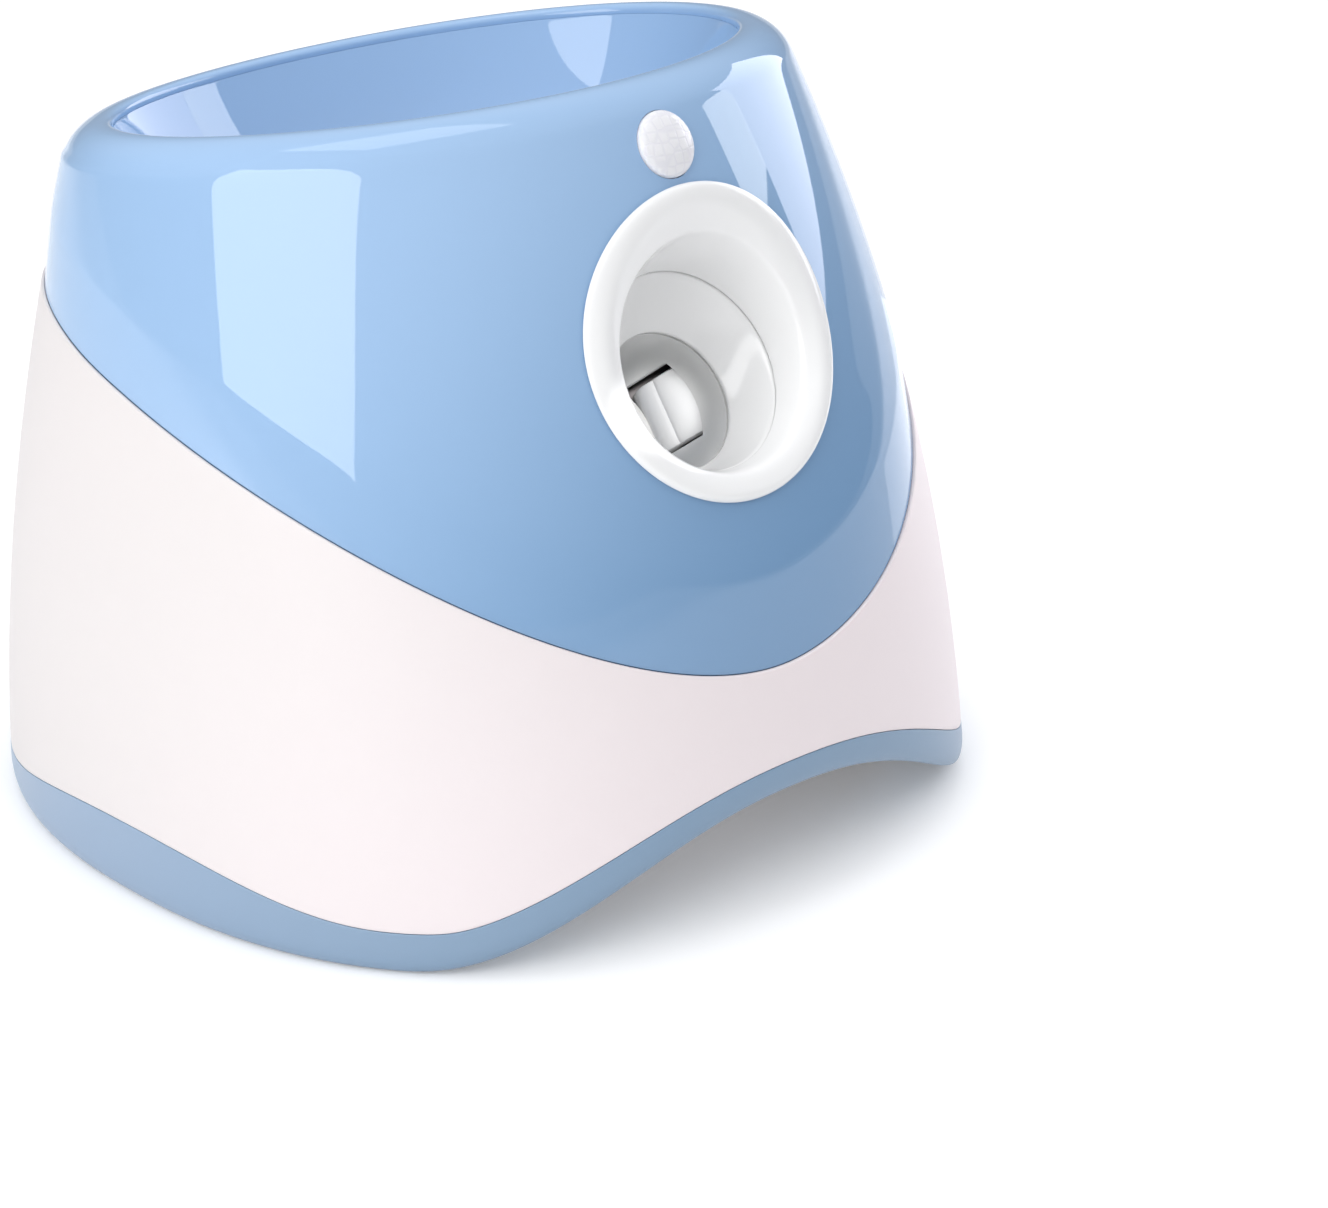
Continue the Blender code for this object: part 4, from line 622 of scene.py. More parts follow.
def add_relief(tree, height, strength, depth):
    """Give a finish a fine relief."""
    relief = tree.nodes.new("ShaderNodeBump")
    fill(relief, {"Strength": strength, "Distance": depth})
    tree.links.new(height, relief.inputs["Height"])
    tree.links.new(relief.outputs["Normal"], tree.nodes["Principled BSDF"].inputs["Normal"])


def plastic(name, colour, roughness, *, far_painted_light=None, mottle=0.02, grain_scale=900.0, grain=0.0, coat=0.0,
            smear=0.03, specular=0.5, coat_ior=1.5):
    """Moulded plastic: faint colour drift, uneven polish, a fine moulded grain, and painted light and shade
    across the part when a far colour is given.
    """
    material = bpy.data.materials.new(name)
    material.use_nodes = True
    tree = material.node_tree
    shader = tree.nodes["Principled BSDF"]
    fill(shader, {"IOR": PLASTIC_IOR, "Specular IOR Level": specular, "Coat Weight": coat,
                  "Coat Roughness": COAT_ROUGHNESS, "Coat IOR": coat_ior})
    place = tree.nodes.new("ShaderNodeTexCoord")
    drift = noise(tree, place, DRIFT_SCALE, DRIFT_DETAIL)
    tint = mottled(tree, colour, mottle, drift)
    if far_painted_light:
        tint = paint_light_across(tree, place, tint, mottled(tree, far_painted_light, mottle, drift))
    tree.links.new(tint, shader.inputs["Base Color"])
    polish = (max(roughness - smear, LEAST_ROUGHNESS), roughness + smear)
    tree.links.new(map_range(tree, drift, (0, 1), polish, 'LINEAR'), shader.inputs["Roughness"])
    if grain:
        add_relief(tree, noise(tree, place, grain_scale, GRAIN_DETAIL), grain, GRAIN_DEPTH)
    return material


def metal(name, colour, roughness):
    """Plated metal with a faint drawn grain in its polish."""
    material = plastic(name, colour, roughness, mottle=0.04, grain=0.05, grain_scale=DRAWN_GRAIN_SCALE,
                       smear=0.08)
    fill(material.node_tree.nodes["Principled BSDF"], {"Metallic": 1.0})
    return material


def lens_finish():
    """Milky sensor lens: translucent plastic with fine moulded facets, whose grooves are painted darker as
    shade.
    """
    material = plastic("sensor_lens_finish", (0.86, 0.83, 0.90), 0.22)
    tree = material.node_tree
    shader = tree.nodes["Principled BSDF"]
    fill(shader, {"Subsurface Weight": MILK_SHARE, "Subsurface Scale": MILK_SCALE,
                  "Subsurface Radius": MILK_RADIUS})
    place = tree.nodes.new("ShaderNodeTexCoord")
    cells = tree.nodes.new("ShaderNodeTexVoronoi")
    cells.feature = 'DISTANCE_TO_EDGE'
    fill(cells, {"Scale": FACET_SCALE, "Randomness": FACET_UNEVENNESS})
    tree.links.new(place.outputs["Object"], cells.inputs["Vector"])
    groove = map_range(tree, cells.outputs["Distance"], (0, FACET_GROOVE))
    # Painted shade: the facets' grooves are coloured darker than their faces.
    tree.links.new(colour_mix(tree, FACET_TINTS_AND_GROOVE_SHADE, groove), shader.inputs["Base Color"])
    add_relief(tree, groove, FACET_RELIEF, FACET_DEPTH)
    return material


def make_finishes():
    """One finish for each material slot of the record, from its colour and roughness."""
    return {
        # The skins' and trim's far colours are painted light and shade across the part: the blues darken
        # towards the front, the white lightens.
        "blue_gloss": plastic("blue_gloss_finish", (0.332, 0.508, 0.755), 0.10,
                              far_painted_light=(0.168, 0.315, 0.520), coat=1.0, mottle=0.012, smear=0.02,
                              specular=0.0, coat_ior=1.62),
        "blue_satin": plastic("blue_satin_finish", (0.305, 0.410, 0.560), 0.34,
                              far_painted_light=(0.225, 0.335, 0.470), grain=0.12),
        "white_satin": plastic("white_satin_finish", (0.775, 0.735, 0.728), 0.42,
                               far_painted_light=(0.872, 0.790, 0.802), grain=0.15, mottle=0.010),
        "white_gloss": plastic("white_gloss_finish", (0.915, 0.915, 0.912), 0.16, coat=0.2, mottle=0.010),
        "wheel_white": plastic("wheel_white_finish", (0.86, 0.86, 0.86), 0.38, grain=0.25),
        "grey_plastic": plastic("grey_plastic_finish", (0.80, 0.80, 0.79), 0.40, grain=0.20),
        "lens_milk": lens_finish(),
        "rubber_dark": plastic("rubber_dark_finish", (0.045, 0.045, 0.05), 0.75, grain=0.6, mottle=0.08),
        "dark_plastic": plastic("dark_plastic_finish", (0.05, 0.05, 0.055), 0.45, grain=0.3, mottle=0.05),
        "plated_steel": metal("plated_steel_finish", (0.62, 0.62, 0.64), 0.32),
        "board_green": plastic("board_green_finish", (0.03, 0.20, 0.09), 0.40, grain=0.2, mottle=0.10),
        "nylon": plastic("nylon_finish", (0.80, 0.78, 0.72), 0.42, grain=0.15),
        "cell_can": plastic("cell_can_finish", (0.06, 0.06, 0.07), 0.30, mottle=0.05),
        "lamp_green": plastic("lamp_green_finish", (0.15, 0.75, 0.25), 0.12, coat=0.5),
    }


def bib_rises(angle):
    """Heights over the bib's seam of the blue shell's rows, up to where the rim's roll starts."""
    reach = RIM_HEIGHT - RIM_RADIUS - bib_seam(angle)
    squeeze = min(1.0, BIB_ROWS_SHARE * reach / BIB_ROWS[-1])
    near = [rise * squeeze for rise in BIB_ROWS]
    last = near[-1]
    return near + [last + (reach - last) * k / BIB_FAR_ROWS for k in range(1, BIB_FAR_ROWS + 1)]


def shell_outside(angle, rises):
    """Outside of the blue shell: the bib, the rolled rim and the lip over the bowl."""
    seam = bib_seam(angle)
    section = [at_rise(seam + rise, angle, bib_inset(rise, angle) if rise else BIB_STEP) for rise in rises]
    for turn in quarter_turns(ROLL_STEPS)[1:]:
        section.append(at_rise(RIM_HEIGHT - RIM_RADIUS + RIM_RADIUS * sin(turn), angle,
                               RIM_RADIUS * (1 - cos(turn))))
    for turn in quarter_turns(LIP_STEPS):
        section.append(at_rise(RIM_HEIGHT - RIM_INNER_RADIUS * (1 - cos(turn)), angle,
                               RIM_RADIUS + RIM_FLAT + RIM_INNER_RADIUS * sin(turn)))
    low, lip = RIM_HEIGHT - RIM_INNER_RADIUS, RIM_RADIUS + RIM_FLAT + RIM_INNER_RADIUS
    section.insert(-1, at_rise(low + LIP_HOLD, angle, lip))
    return section + [at_rise(low, angle, lip - LIP_HOLD)]


def shell_inside(angle, rises):
    """Inside of the blue shell: under the lip and the roll, down the wall and round the tongue."""
    small, roll = RIM_INNER_RADIUS - BOWL_WALL, RIM_RADIUS - WALL
    section = [at_rise(RIM_HEIGHT - BOWL_WALL - small * (1 - cos(turn)), angle,
                       RIM_RADIUS + RIM_FLAT + small * sin(turn)) for turn in quarter_turns(LIP_STEPS)[::-2]]
    for turn in quarter_turns(LIP_STEPS)[::-1]:
        section.append(at_rise(RIM_HEIGHT - RIM_RADIUS + roll * sin(turn), angle,
                               RIM_RADIUS - roll * cos(turn)))
    seam, behind = bib_seam(angle), WALL + FIT
    for rise in reversed(rises[4:-1:3]):
        section.append(at_rise(seam + rise, angle, bib_inset(rise, angle) + WALL))
    tongue = ((TONGUE, behind + BOWL_WALL), (-TONGUE, behind + BOWL_WALL), (-TONGUE, behind), (0, behind))
    return section + [at_rise(seam + rise, angle, inset) for rise, inset in tongue]


def make_upper_shell(finishes):
    """Blue upper shell with its soft crease and rolled rim, cut for the muzzle and the lens."""
    columns = []
    for angle in body_angles():
        rises = bib_rises(angle)
        columns.append(shell_outside(angle, rises) + shell_inside(angle, rises))
    shell = ring_piece("upper_shell_skin", columns)
    divide(shell, 2)
    bore(shell, RING, RING_HOLE_RADIUS, -RING_RADIUS, RING_RADIUS, HOLE_COLUMNS)
    bore(shell, LENS, LENS_HOLE_RADIUS, -LENS_RADIUS, LENS_RADIUS, TUBE_COLUMNS)
    dress(shell, finishes, "blue_gloss", "housing", "upper_shell")


def make_lower_shell(finishes):
    """White lower shell, with a small round on the edge that stands proud at the bib."""
    columns = []
    for angle in body_angles():
        low = trim_seam(angle) + SEAM
        high = bib_seam(angle) - SEAM
        rises = [low, low + EDGE]
        rises += [low + EDGE + (high - low - 3 * EDGE) * k / LOWER_ROWS for k in range(1, LOWER_ROWS + 1)]
        section = [at_rise(low, angle, EDGE / 2)] + [at_rise(rise, angle) for rise in rises[1:]]
        section += [at_rise(high - EDGE / 3, angle, EDGE / 4), at_rise(high, angle, EDGE)]
        section.append(at_rise(high, angle, WALL))
        section += [at_rise(rise, angle, WALL) for rise in reversed(rises[::2])]
        columns.append(section)
    shell = ring_piece("lower_shell_skin", columns)
    divide(shell, 2)
    outline = rounded_outline(PANEL_WIDTH + 2 * FIT, PANEL_TALL + 2 * FIT, PANEL_CORNER + FIT)
    cut(shell, prism("panel_tool", outline, PANEL, -2 * PANEL_THICKNESS, 2 * PANEL_THICKNESS))
    dress(shell, finishes, "white_satin", "housing", "lower_shell")


def skirt_section(angle):
    """A closed section of the trim band: outside, foot edge, flange, ledge under the floor and tongue."""
    seam = at_rise(trim_seam(angle), angle).z
    low = at_rise(bottom_edge(angle), angle).z + GROUND_GAP
    corner = min(FOOT_EDGE_RADIUS, (seam - low) * FOOT_EDGE_SHARE)
    section = [at_height(seam, angle, EDGE / 2), at_height(seam - EDGE, angle)]
    section += [at_height(seam - EDGE - (seam - EDGE - low - corner) * k / 3, angle) for k in (1, 2)]
    section += [at_height(low + corner * (1 - sin(turn)), angle, FOOT_EDGE_TUCK * (1 - cos(turn)))
                for turn in quarter_turns(FOOT_STEPS)]
    lip = FOOT_EDGE_TUCK + WALL
    flange = low - GROUND_GAP + FLANGE_RISE
    ledge = WALL + FIT + BOWL_WALL
    wide = ledge + LEDGE_WIDTH
    top = max(at_rise(trim_seam(angle) + TONGUE, angle).z, FLOOR_HEIGHT + FLOOR_THICKNESS)
    inside = ((low, lip), (flange, lip + EDGE), (flange, FLANGE_WIDTH), (flange + WALL, FLANGE_WIDTH),
              (flange + WALL, wide), (FLOOR_HEIGHT - FIT, wide), (FLOOR_HEIGHT - FIT, ledge), (top, ledge),
              (top, WALL + FIT), (seam, WALL + FIT))
    return section + [at_height(height, angle, inset) for height, inset in inside]


def make_base_skirt(finishes):
    """Blue trim band with its arches and rounded foot edge."""
    skirt = ring_piece("base_skirt_skin", [skirt_section(angle) for angle in body_angles()])
    divide(skirt, 2)
    hold_creases(skirt)
    dress(skirt, finishes, "blue_satin", "housing", "base_skirt")


def hold_creases(obj):
    """Crease the edges whose two faces meet at a wide angle, so that subdivision keeps them crisp."""
    work = bmesh.new()
    work.from_mesh(obj.data)
    layer = work.edges.layers.float.new("crease_edge")
    for edge in work.edges:
        if len(edge.link_faces) == 2 and edge.calc_face_angle(0.0) > CREASED_ANGLE:
            edge[layer] = CREASED_HOLD
    work.to_mesh(obj.data)
    work.free()


def spline(before, here, after, later, t):
    """A number on the smooth curve between two numbers, from them and their neighbours."""
    return 0.5 * (2 * here + (after - before) * t + (2 * before - 5 * here + 4 * after - later) * t ** 2
                  + (3 * here - before - 3 * after + later) * t ** 3)


def curve_shares(points, steps):
    """Points of a smooth curve through a list of pairs."""
    padded = [tuple(2 * a - b for a, b in zip(points[0], points[1]))] + list(points)
    padded.append(tuple(2 * a - b for a, b in zip(points[-1], points[-2])))
    curve = []
    for k in range(1, len(padded) - 2):
        for step in range(steps):
            curve.append(tuple(spline(*numbers, step / steps) for numbers in zip(*padded[k - 1:k + 3])))
    curve.append(points[-1])
    return curve


def bowl_shares():
    """The bowl's wall as a smoothed list of shares of the way down and in."""
    shares = curve_shares(BOWL_SHARES, BOWL_STEPS)
    for _ in range(BOWL_SMOOTHING):
        shares[1:-1] = [tuple((a + 2 * b + c) / 4 for a, b, c in zip(*shares[k - 1:k + 2]))
                        for k in range(1, len(shares) - 1)]
    return shares


def bowl_section(angle, shares):
    """A closed section of the bowl, from the rim to its round outlet and back."""
    outlet = across_frame(in_barrel(FEED_DEPTH, FEED_TOP_RISE + FIT))
    inset = RIM_RADIUS + RIM_FLAT + RIM_INNER_RADIUS
    top = RIM_HEIGHT - RIM_INNER_RADIUS
    start = at_rise(top, angle, inset)
    turn = atan2(-cos(angle), sin(angle))
    end = polar(outlet, FEED_RADIUS, turn)
    way = Vector((start.x - end.x, start.y - end.y, 0)).normalized()
    inner = [Vector((start.x + (end.x - start.x) * reach, start.y + (end.y - start.y) * reach,
                     start.z + (end.z - start.z) * depth)) for depth, reach in shares]
    outer = []
    for here, point in enumerate(inner):
        run = inner[min(here + 1, len(inner) - 1)] - inner[max(here - 1, 0)]
        normal = Vector((-run.z * way.x, -run.z * way.y, min(run.x * way.x + run.y * way.y, 0.0)))
        outer.append(point + BOWL_WALL * normal.normalized())
    outer[0] = at_rise(top, angle, inset - BOWL_WALL + FIT)
    outer[-1] = polar(outlet, FEED_RADIUS + FEED_WALL, turn)
    hold = inner[0].lerp(inner[1], LIP_HOLD / (inner[0] - inner[1]).length)
    return [inner[0], hold] + inner[1:] + outer[::-2] + [at_rise(top, angle, inset - LIP_HOLD)]


def make_hopper_bowl(finishes):
    """Hopper bowl hung from the rim, falling to its round outlet."""
    shares = bowl_shares()
    bowl = ring_piece("hopper_bowl_skin", [bowl_section(angle, shares) for angle in body_angles()])
    divide(bowl, 1)
    dress(bowl, finishes, "blue_gloss", "housing", "hopper_bowl")


def ring_point(radius, turn, height):
    return polar(RING, radius, turn, height)


def disc_point(radius, turn, height=0.0):
    return polar(DISC, radius, turn, height)


def ring_skin(radius, turn):
    """Height of the outer skin over the ring's plane, along the ring's axis."""
    low, high = -RING_RADIUS, RING_RADIUS
    for _ in range(HALVINGS):
        middle = (low + high) / 2
        point = ring_point(radius, turn, middle)
        if point.y < front_skin_y(point.x, point.z):
            high = middle
        else:
            low = middle
    return low


def lip_point(radius, turn, height):
    """A point of the bezel's lip, which bends with the skin half as much as the bezel does."""
    bend = (ring_skin(radius, turn) - ring_skin(radius, pi / 4)) / 2
    return RING @ Vector((radius * cos(turn), radius * sin(turn) - LIP_DROP, LIP_ADVANCE + bend + height))


def over_skin(point):
    """Lift a point of the bezel's face where it would sink under the edge of the shell's hole."""
    place = RING.inverted() @ point
    radius = hypot(place.x, place.y)
    floor = ring_skin(radius, atan2(place.y, place.x)) + RING_CLEARANCE - (RING_HOLE_RADIUS - radius)
    place.z = max(place.z, floor)
    return RING @ place


def make_muzzle_ring(finishes):
    """White bezel that follows the body, with a rounded lip and a cone down to the funnel."""
    columns = []
    for turn in body_angles():
        rim = RING_RADIUS - RING_TOP_TRIM * max(sin(turn), 0) ** 2
        edge = ring_skin(rim, turn)
        collar = ring_skin(COLLAR_RADIUS, turn)
        round_in = rim - RING_EDGE_ROUND
        crown = (rim + LIP_RADIUS) / 2
        crown_skin = ring_skin(crown, turn)
        lip_out = LIP_RADIUS + LIP_ROUND
        outer = [ring_point(rim, turn, edge + FIT),
                 ring_point(rim, turn, edge + 2 * FIT),
                 ring_point(rim, turn, edge + RING_EDGE_HEIGHT / 2),
                 ring_point(rim - RING_EDGE_ROUND / 3, turn, edge + RING_EDGE_HEIGHT),
                 ring_point(round_in, turn, edge + RING_EDGE_HEIGHT + RING_CROWN / 2),
                 (ring_point(crown, turn, crown_skin + RING_EDGE_HEIGHT + RING_CROWN)
                  + lip_point(crown, turn, RING_EDGE_HEIGHT)) / 2,
                 over_skin(lip_point(lip_out, turn, RING_CROWN / 2)),
                 over_skin(lip_point(LIP_RADIUS + LIP_ROUND / 3, turn, 0)),
                 lip_point(LIP_RADIUS, turn, -RING_CROWN)]
        foot = disc_point(DISC_RADIUS, turn)
        wall = [outer[-1].lerp(foot, share) for share in CONE_SHARES]
        columns.append(outer + wall + [
            foot, disc_point(DISC_RADIUS + FUNNEL_WALL, turn),
            lip_point(LIP_RADIUS + FUNNEL_WALL, turn, -COLLAR_DEPTH),
            ring_point(COLLAR_RADIUS, turn, collar - COLLAR_DEPTH),
            ring_point(COLLAR_RADIUS, turn, collar + FIT)])
    ring = ring_piece("muzzle_ring_skin", columns)
    divide(ring, 2)
    dress(ring, finishes, "white_gloss", "housing", "muzzle_ring")


def make_throat_funnel(finishes):
    """Funnel from the ring's cone to the round throat, with a crisp throat edge."""
    columns = []
    back = DISC.to_3x3() @ Vector((0, 0, -FUNNEL_WALL))
    for turn in body_angles():
        way = Vector((cos(turn), sin(turn), 0))
        wide = disc_point(DISC_RADIUS, turn, -FIT)
        narrow = polar(THROAT, THROAT_RADIUS, turn)
        swell = (wide + narrow) / 2 + back
        columns.append([
            disc_point(DISC_RADIUS + FUNNEL_WALL, turn, -FIT),
            wide, wide.lerp(swell, THROAT_EDGE_SHARE), swell, narrow.lerp(swell, THROAT_EDGE_SHARE),
            polar(THROAT, THROAT_RADIUS + FIT / 3, turn),
            polar(THROAT, THROAT_RADIUS, turn, -FIT), polar(THROAT, THROAT_RADIUS, turn, -FUNNEL_WALL),
            polar(THROAT, THROAT_RADIUS + BARREL_WALL, turn, -FUNNEL_WALL),
            swell + back + DISC.to_3x3() @ (FUNNEL_WALL / 2 * way),
            disc_point(DISC_RADIUS + FUNNEL_WALL, turn, -FIT - FUNNEL_WALL)])
    funnel = ring_piece("throat_funnel_skin", columns)
    divide(funnel, 1)
    dress(funnel, finishes, "white_gloss", "housing", "throat_funnel")


def wheel_side():
    """How far each wheel's axis lies from the middle."""
    return THROAT_RADIUS - WHEEL_PROTRUSION + WHEEL_RADIUS


def make_barrel(finishes):
    """Barrel with its wheel slots, feed opening and pusher slot."""
    outer = THROAT_RADIUS + BARREL_WALL
    start = FUNNEL_WALL + FIT
    section = ((THROAT_RADIUS, -start), (outer, -start), (outer, -BARREL_LENGTH),
               (THROAT_RADIUS, -BARREL_LENGTH))
    barrel = turned_ring("barrel_skin", section, THROAT, TUBE_COLUMNS)
    chord = (WHEEL_RADIUS ** 2 - (wheel_side() - THROAT_RADIUS) ** 2) ** 0.5 + WHEEL_SLOT_END_GAP
    size = (outer, 2 * chord, WHEEL_WIDTH + 2 * WHEEL_SLOT_GAP)
    for side in (-outer, outer):
        cut(barrel, box_piece("slot_tool", size, across_frame(in_barrel(WHEEL_DEPTH, WHEEL_RISE, side))))
    bore(barrel, across_frame(in_barrel(FEED_DEPTH)), THROAT_RADIUS, 0, 2 * outer, TUBE_COLUMNS)
    length = BARREL_LENGTH - PUSHER_SLOT_START + outer / 8
    place = across_frame(in_barrel(PUSHER_SLOT_START + length / 2, -outer))
    cut(barrel, box_piece("pusher_tool", (PUSHER_SLOT_WIDTH, length, outer), place))
    dress(barrel, finishes, "grey_plastic", "housing", "barrel")


def make_feed_tube(finishes):
    """Tube from the hopper's outlet to the barrel's top, saddle cut over the barrel."""
    outer = FEED_RADIUS + FEED_WALL
    section = ((FEED_RADIUS, 0), (outer, 0), (outer, FEED_TOP_RISE), (FEED_RADIUS, FEED_TOP_RISE))
    tube = turned_ring("feed_tube_skin", section, across_frame(in_barrel(FEED_DEPTH)), TUBE_COLUMNS)
    bore(tube, THROAT, THROAT_RADIUS + BARREL_WALL + FIT, -2 * BARREL_LENGTH, BARREL_LENGTH, TUBE_COLUMNS)
    dress(tube, finishes, "grey_plastic", "housing", "feed_tube")


def wheel_loop(place, height, inset):
    """The wheel's lobed outline at a height, pulled in by an inset."""
    loop = []
    for turn in body_angles(WHEEL_LOBE_STEPS * WHEEL_LOBES):
        swell = abs(sin(turn * WHEEL_LOBES / 2)) ** WHEEL_LOBE_POWER
        loop.append(polar(place, WHEEL_RADIUS - WHEEL_LOBE_HEIGHT * (1 - swell) - inset, turn, height))
    return loop


def make_wheels(finishes):
    """Launch wheels: smooth rounded lobes round the rim, a web and a hub."""
    half = WHEEL_WIDTH / 2
    inside = WHEEL_RADIUS - WHEEL_LOBE_HEIGHT - WHEEL_RIM_WALL
    edge = ((0.0, WHEEL_EDGE), (WHEEL_EDGE / 3, WHEEL_EDGE / 3), (WHEEL_EDGE, 0.0))
    levels = [(rise - half, inset) for rise, inset in edge]
    levels += [(half - rise, inset) for rise, inset in reversed(edge)]
    for name, side in (("left", -1), ("right", 1)):
        place = across_frame(in_barrel(WHEEL_DEPTH, WHEEL_RISE, side * wheel_side()))
        wheel = stack_piece(f"launch_wheel_{name}_skin", [wheel_loop(place, *level) for level in levels])
        for way in (-1, 1):
            face, past = way * WHEEL_WEB / 2, way * (half + WHEEL_LOBE_HEIGHT)
            recess = ((WHEEL_HUB_RADIUS, face), (inside, face), (inside, past), (WHEEL_HUB_RADIUS, past))
            cut(wheel, turned_ring("recess_tool", recess, place, TUBE_COLUMNS))
        bore(wheel, place, SHAFT_RADIUS + FIT, -WHEEL_WIDTH, WHEEL_WIDTH)
        dress(wheel, finishes, "wheel_white", f"{name}_wheel", f"launch_wheel_{name}")


def make_lens(finishes):
    """Domed sensor lens with a skirt, and a flange behind the skin."""
    top, low = -LENS_SKIRT, -LENS_SKIRT - LENS_FLANGE
    shrink = LENS_RADIUS - LENS_WALL
    outside, inside = (quarter_turns(steps)[:-1] for steps in LENS_STEPS)
    outer = [(LENS_RADIUS * cos(turn), LENS_DOME * sin(turn)) for turn in outside]
    inner = [(shrink * cos(turn), (LENS_DOME - LENS_WALL) * sin(turn)) for turn in inside]
    profile = (inner[::-1] + [(shrink, low), (LENS_FLANGE_RADIUS, low), (LENS_FLANGE_RADIUS, top),
                              (LENS_RADIUS, top)] + outer)
    lens = turned_piece("sensor_lens_skin", profile, LENS, LENS_COLUMNS)
    dress(lens, finishes, "lens_milk", "housing", "sensor_lens")


def rounded_outline(width, tall, corner):
    """Outline of a rectangle with round corners."""
    points = []
    for turn, (x, y) in enumerate(((1, 1), (-1, 1), (-1, -1), (1, -1))):
        for k in range(CORNER_STEPS + 1):
            angle = (turn + k / CORNER_STEPS) * pi / 2
            points.append((x * (width / 2 - corner) + corner * cos(angle),
                           y * (tall / 2 - corner) + corner * sin(angle)))
    return points


def on_panel(x, y=-CONTROL_ROW_DROP):
    """The frame of a control on the panel."""
    return PANEL @ Matrix.Translation((x, y, 0))


def make_panel(finishes):
    """Rear panel with softened edges and a hole for each control."""
    back = PANEL_PROUD - PANEL_THICKNESS
    outline = rounded_outline(PANEL_WIDTH, PANEL_TALL, PANEL_CORNER)
    panel = prism("control_panel_skin", outline, PANEL, back, PANEL_PROUD)
    holes = [(on_panel(x), radius + gap) for (x, radius), gap in
             ((POWER_BUTTON, BUTTON_GAP), (RANGE_BUTTON, BUTTON_GAP), (SOCKET, FIT))]
    holes += [(on_panel(way * LAMP_PITCH, LAMP_RISE), LAMP_RADIUS + FIT) for way in (-1, 0, 1)]
    for place, radius in holes:
        bore(panel, place, radius, 2 * back, PANEL_THICKNESS)
    round_edges(panel, PANEL_EDGE)
    dress(panel, finishes, "grey_plastic", "housing", "control_panel")


def make_buttons(finishes):
    """Domed buttons, each with a step that holds it behind the panel."""
    step_top = PANEL_PROUD - PANEL_THICKNESS - FIT
    low = BUTTON_PROUD - BUTTON_LENGTH
    for name, (x, radius) in (("power_button", POWER_BUTTON), ("range_button", RANGE_BUTTON)):
        dome = [(radius * cos(turn) ** BUTTON_ROUNDNESS, BUTTON_PROUD - BUTTON_DOME + BUTTON_DOME * sin(turn))
                for turn in quarter_turns(BUTTON_STEPS)[:-1]]
        profile = [(radius + BUTTON_STEP, low), (radius + BUTTON_STEP, step_top), (radius, step_top)] + dome
        button = turned_piece(name + "_cap", profile, on_panel(x))
        dress(button, finishes, "blue_satin", name, name)


def make_socket(finishes):
    """Ringed power socket with its pin."""
    (x, radius), face = SOCKET, PANEL_PROUD
    tip = face - SOCKET_PIN_DROP
    profile = ((radius, face - SOCKET_LENGTH), (radius, face - SOCKET_EDGE), (radius - SOCKET_EDGE, face),
               (SOCKET_BORE_RADIUS + SOCKET_EDGE, face), (SOCKET_BORE_RADIUS, face - SOCKET_EDGE),
               (SOCKET_BORE_RADIUS, face - SOCKET_DEPTH), (SOCKET_PIN_RADIUS, face - SOCKET_DEPTH),
               (SOCKET_PIN_RADIUS, tip - SOCKET_PIN_TIP), (SOCKET_PIN_RADIUS * SOCKET_PIN_TAPER, tip))
    socket = turned_piece("power_socket_shell", profile, on_panel(x))
    dress(socket, finishes, "dark_plastic", "housing", "power_socket")


def make_feet(finishes):
    """Rubber pads with a soft lower edge."""
    profile = [(FOOT_PAD_RADIUS * share, height) for share, height in FOOT_PAD_EDGE]
    profile.append((FOOT_PAD_RADIUS, FLANGE_RISE - FIT))
    angles = FOOT_PAD_ANGLES + tuple(-angle for angle in FOOT_PAD_ANGLES)
    for name, angle in zip(FOOT_NAMES, angles):
        spot = at_height(FLANGE_RISE, angle, FOOT_PAD_INSET)
        pad = turned_piece(name + "_pad", profile, Matrix.Translation((spot.x, spot.y, 0)))
        dress(pad, finishes, "rubber_dark", "housing", name)


def dress_nodes(frame, finishes):
    """Give each CAD node that still shows the finish of its slot."""
    slots = {entry["node"]: entry["material_slot"] for entry in frame["record"]["subparts"]}
    for name, node in frame["nodes"].items():
        node.data.materials.clear()
        node.data.materials.append(finishes[slots[name]])


def make_floor():
    """Pale plain floor that keeps the object's shadow."""
    work = bmesh.new()
    half = FLOOR_SIZE / 2
    corners = ((-half, -half), (half, -half), (half, half), (-half, half))
    work.faces.new([work.verts.new((x, y, 0)) for x, y in corners])
    mesh = bpy.data.meshes.new("studio_floor")
    work.to_mesh(mesh)
    work.free()
    floor = bpy.data.objects.new("studio_floor", mesh)
    bpy.context.scene.collection.objects.link(floor)
    mesh.materials.append(floor_finish())


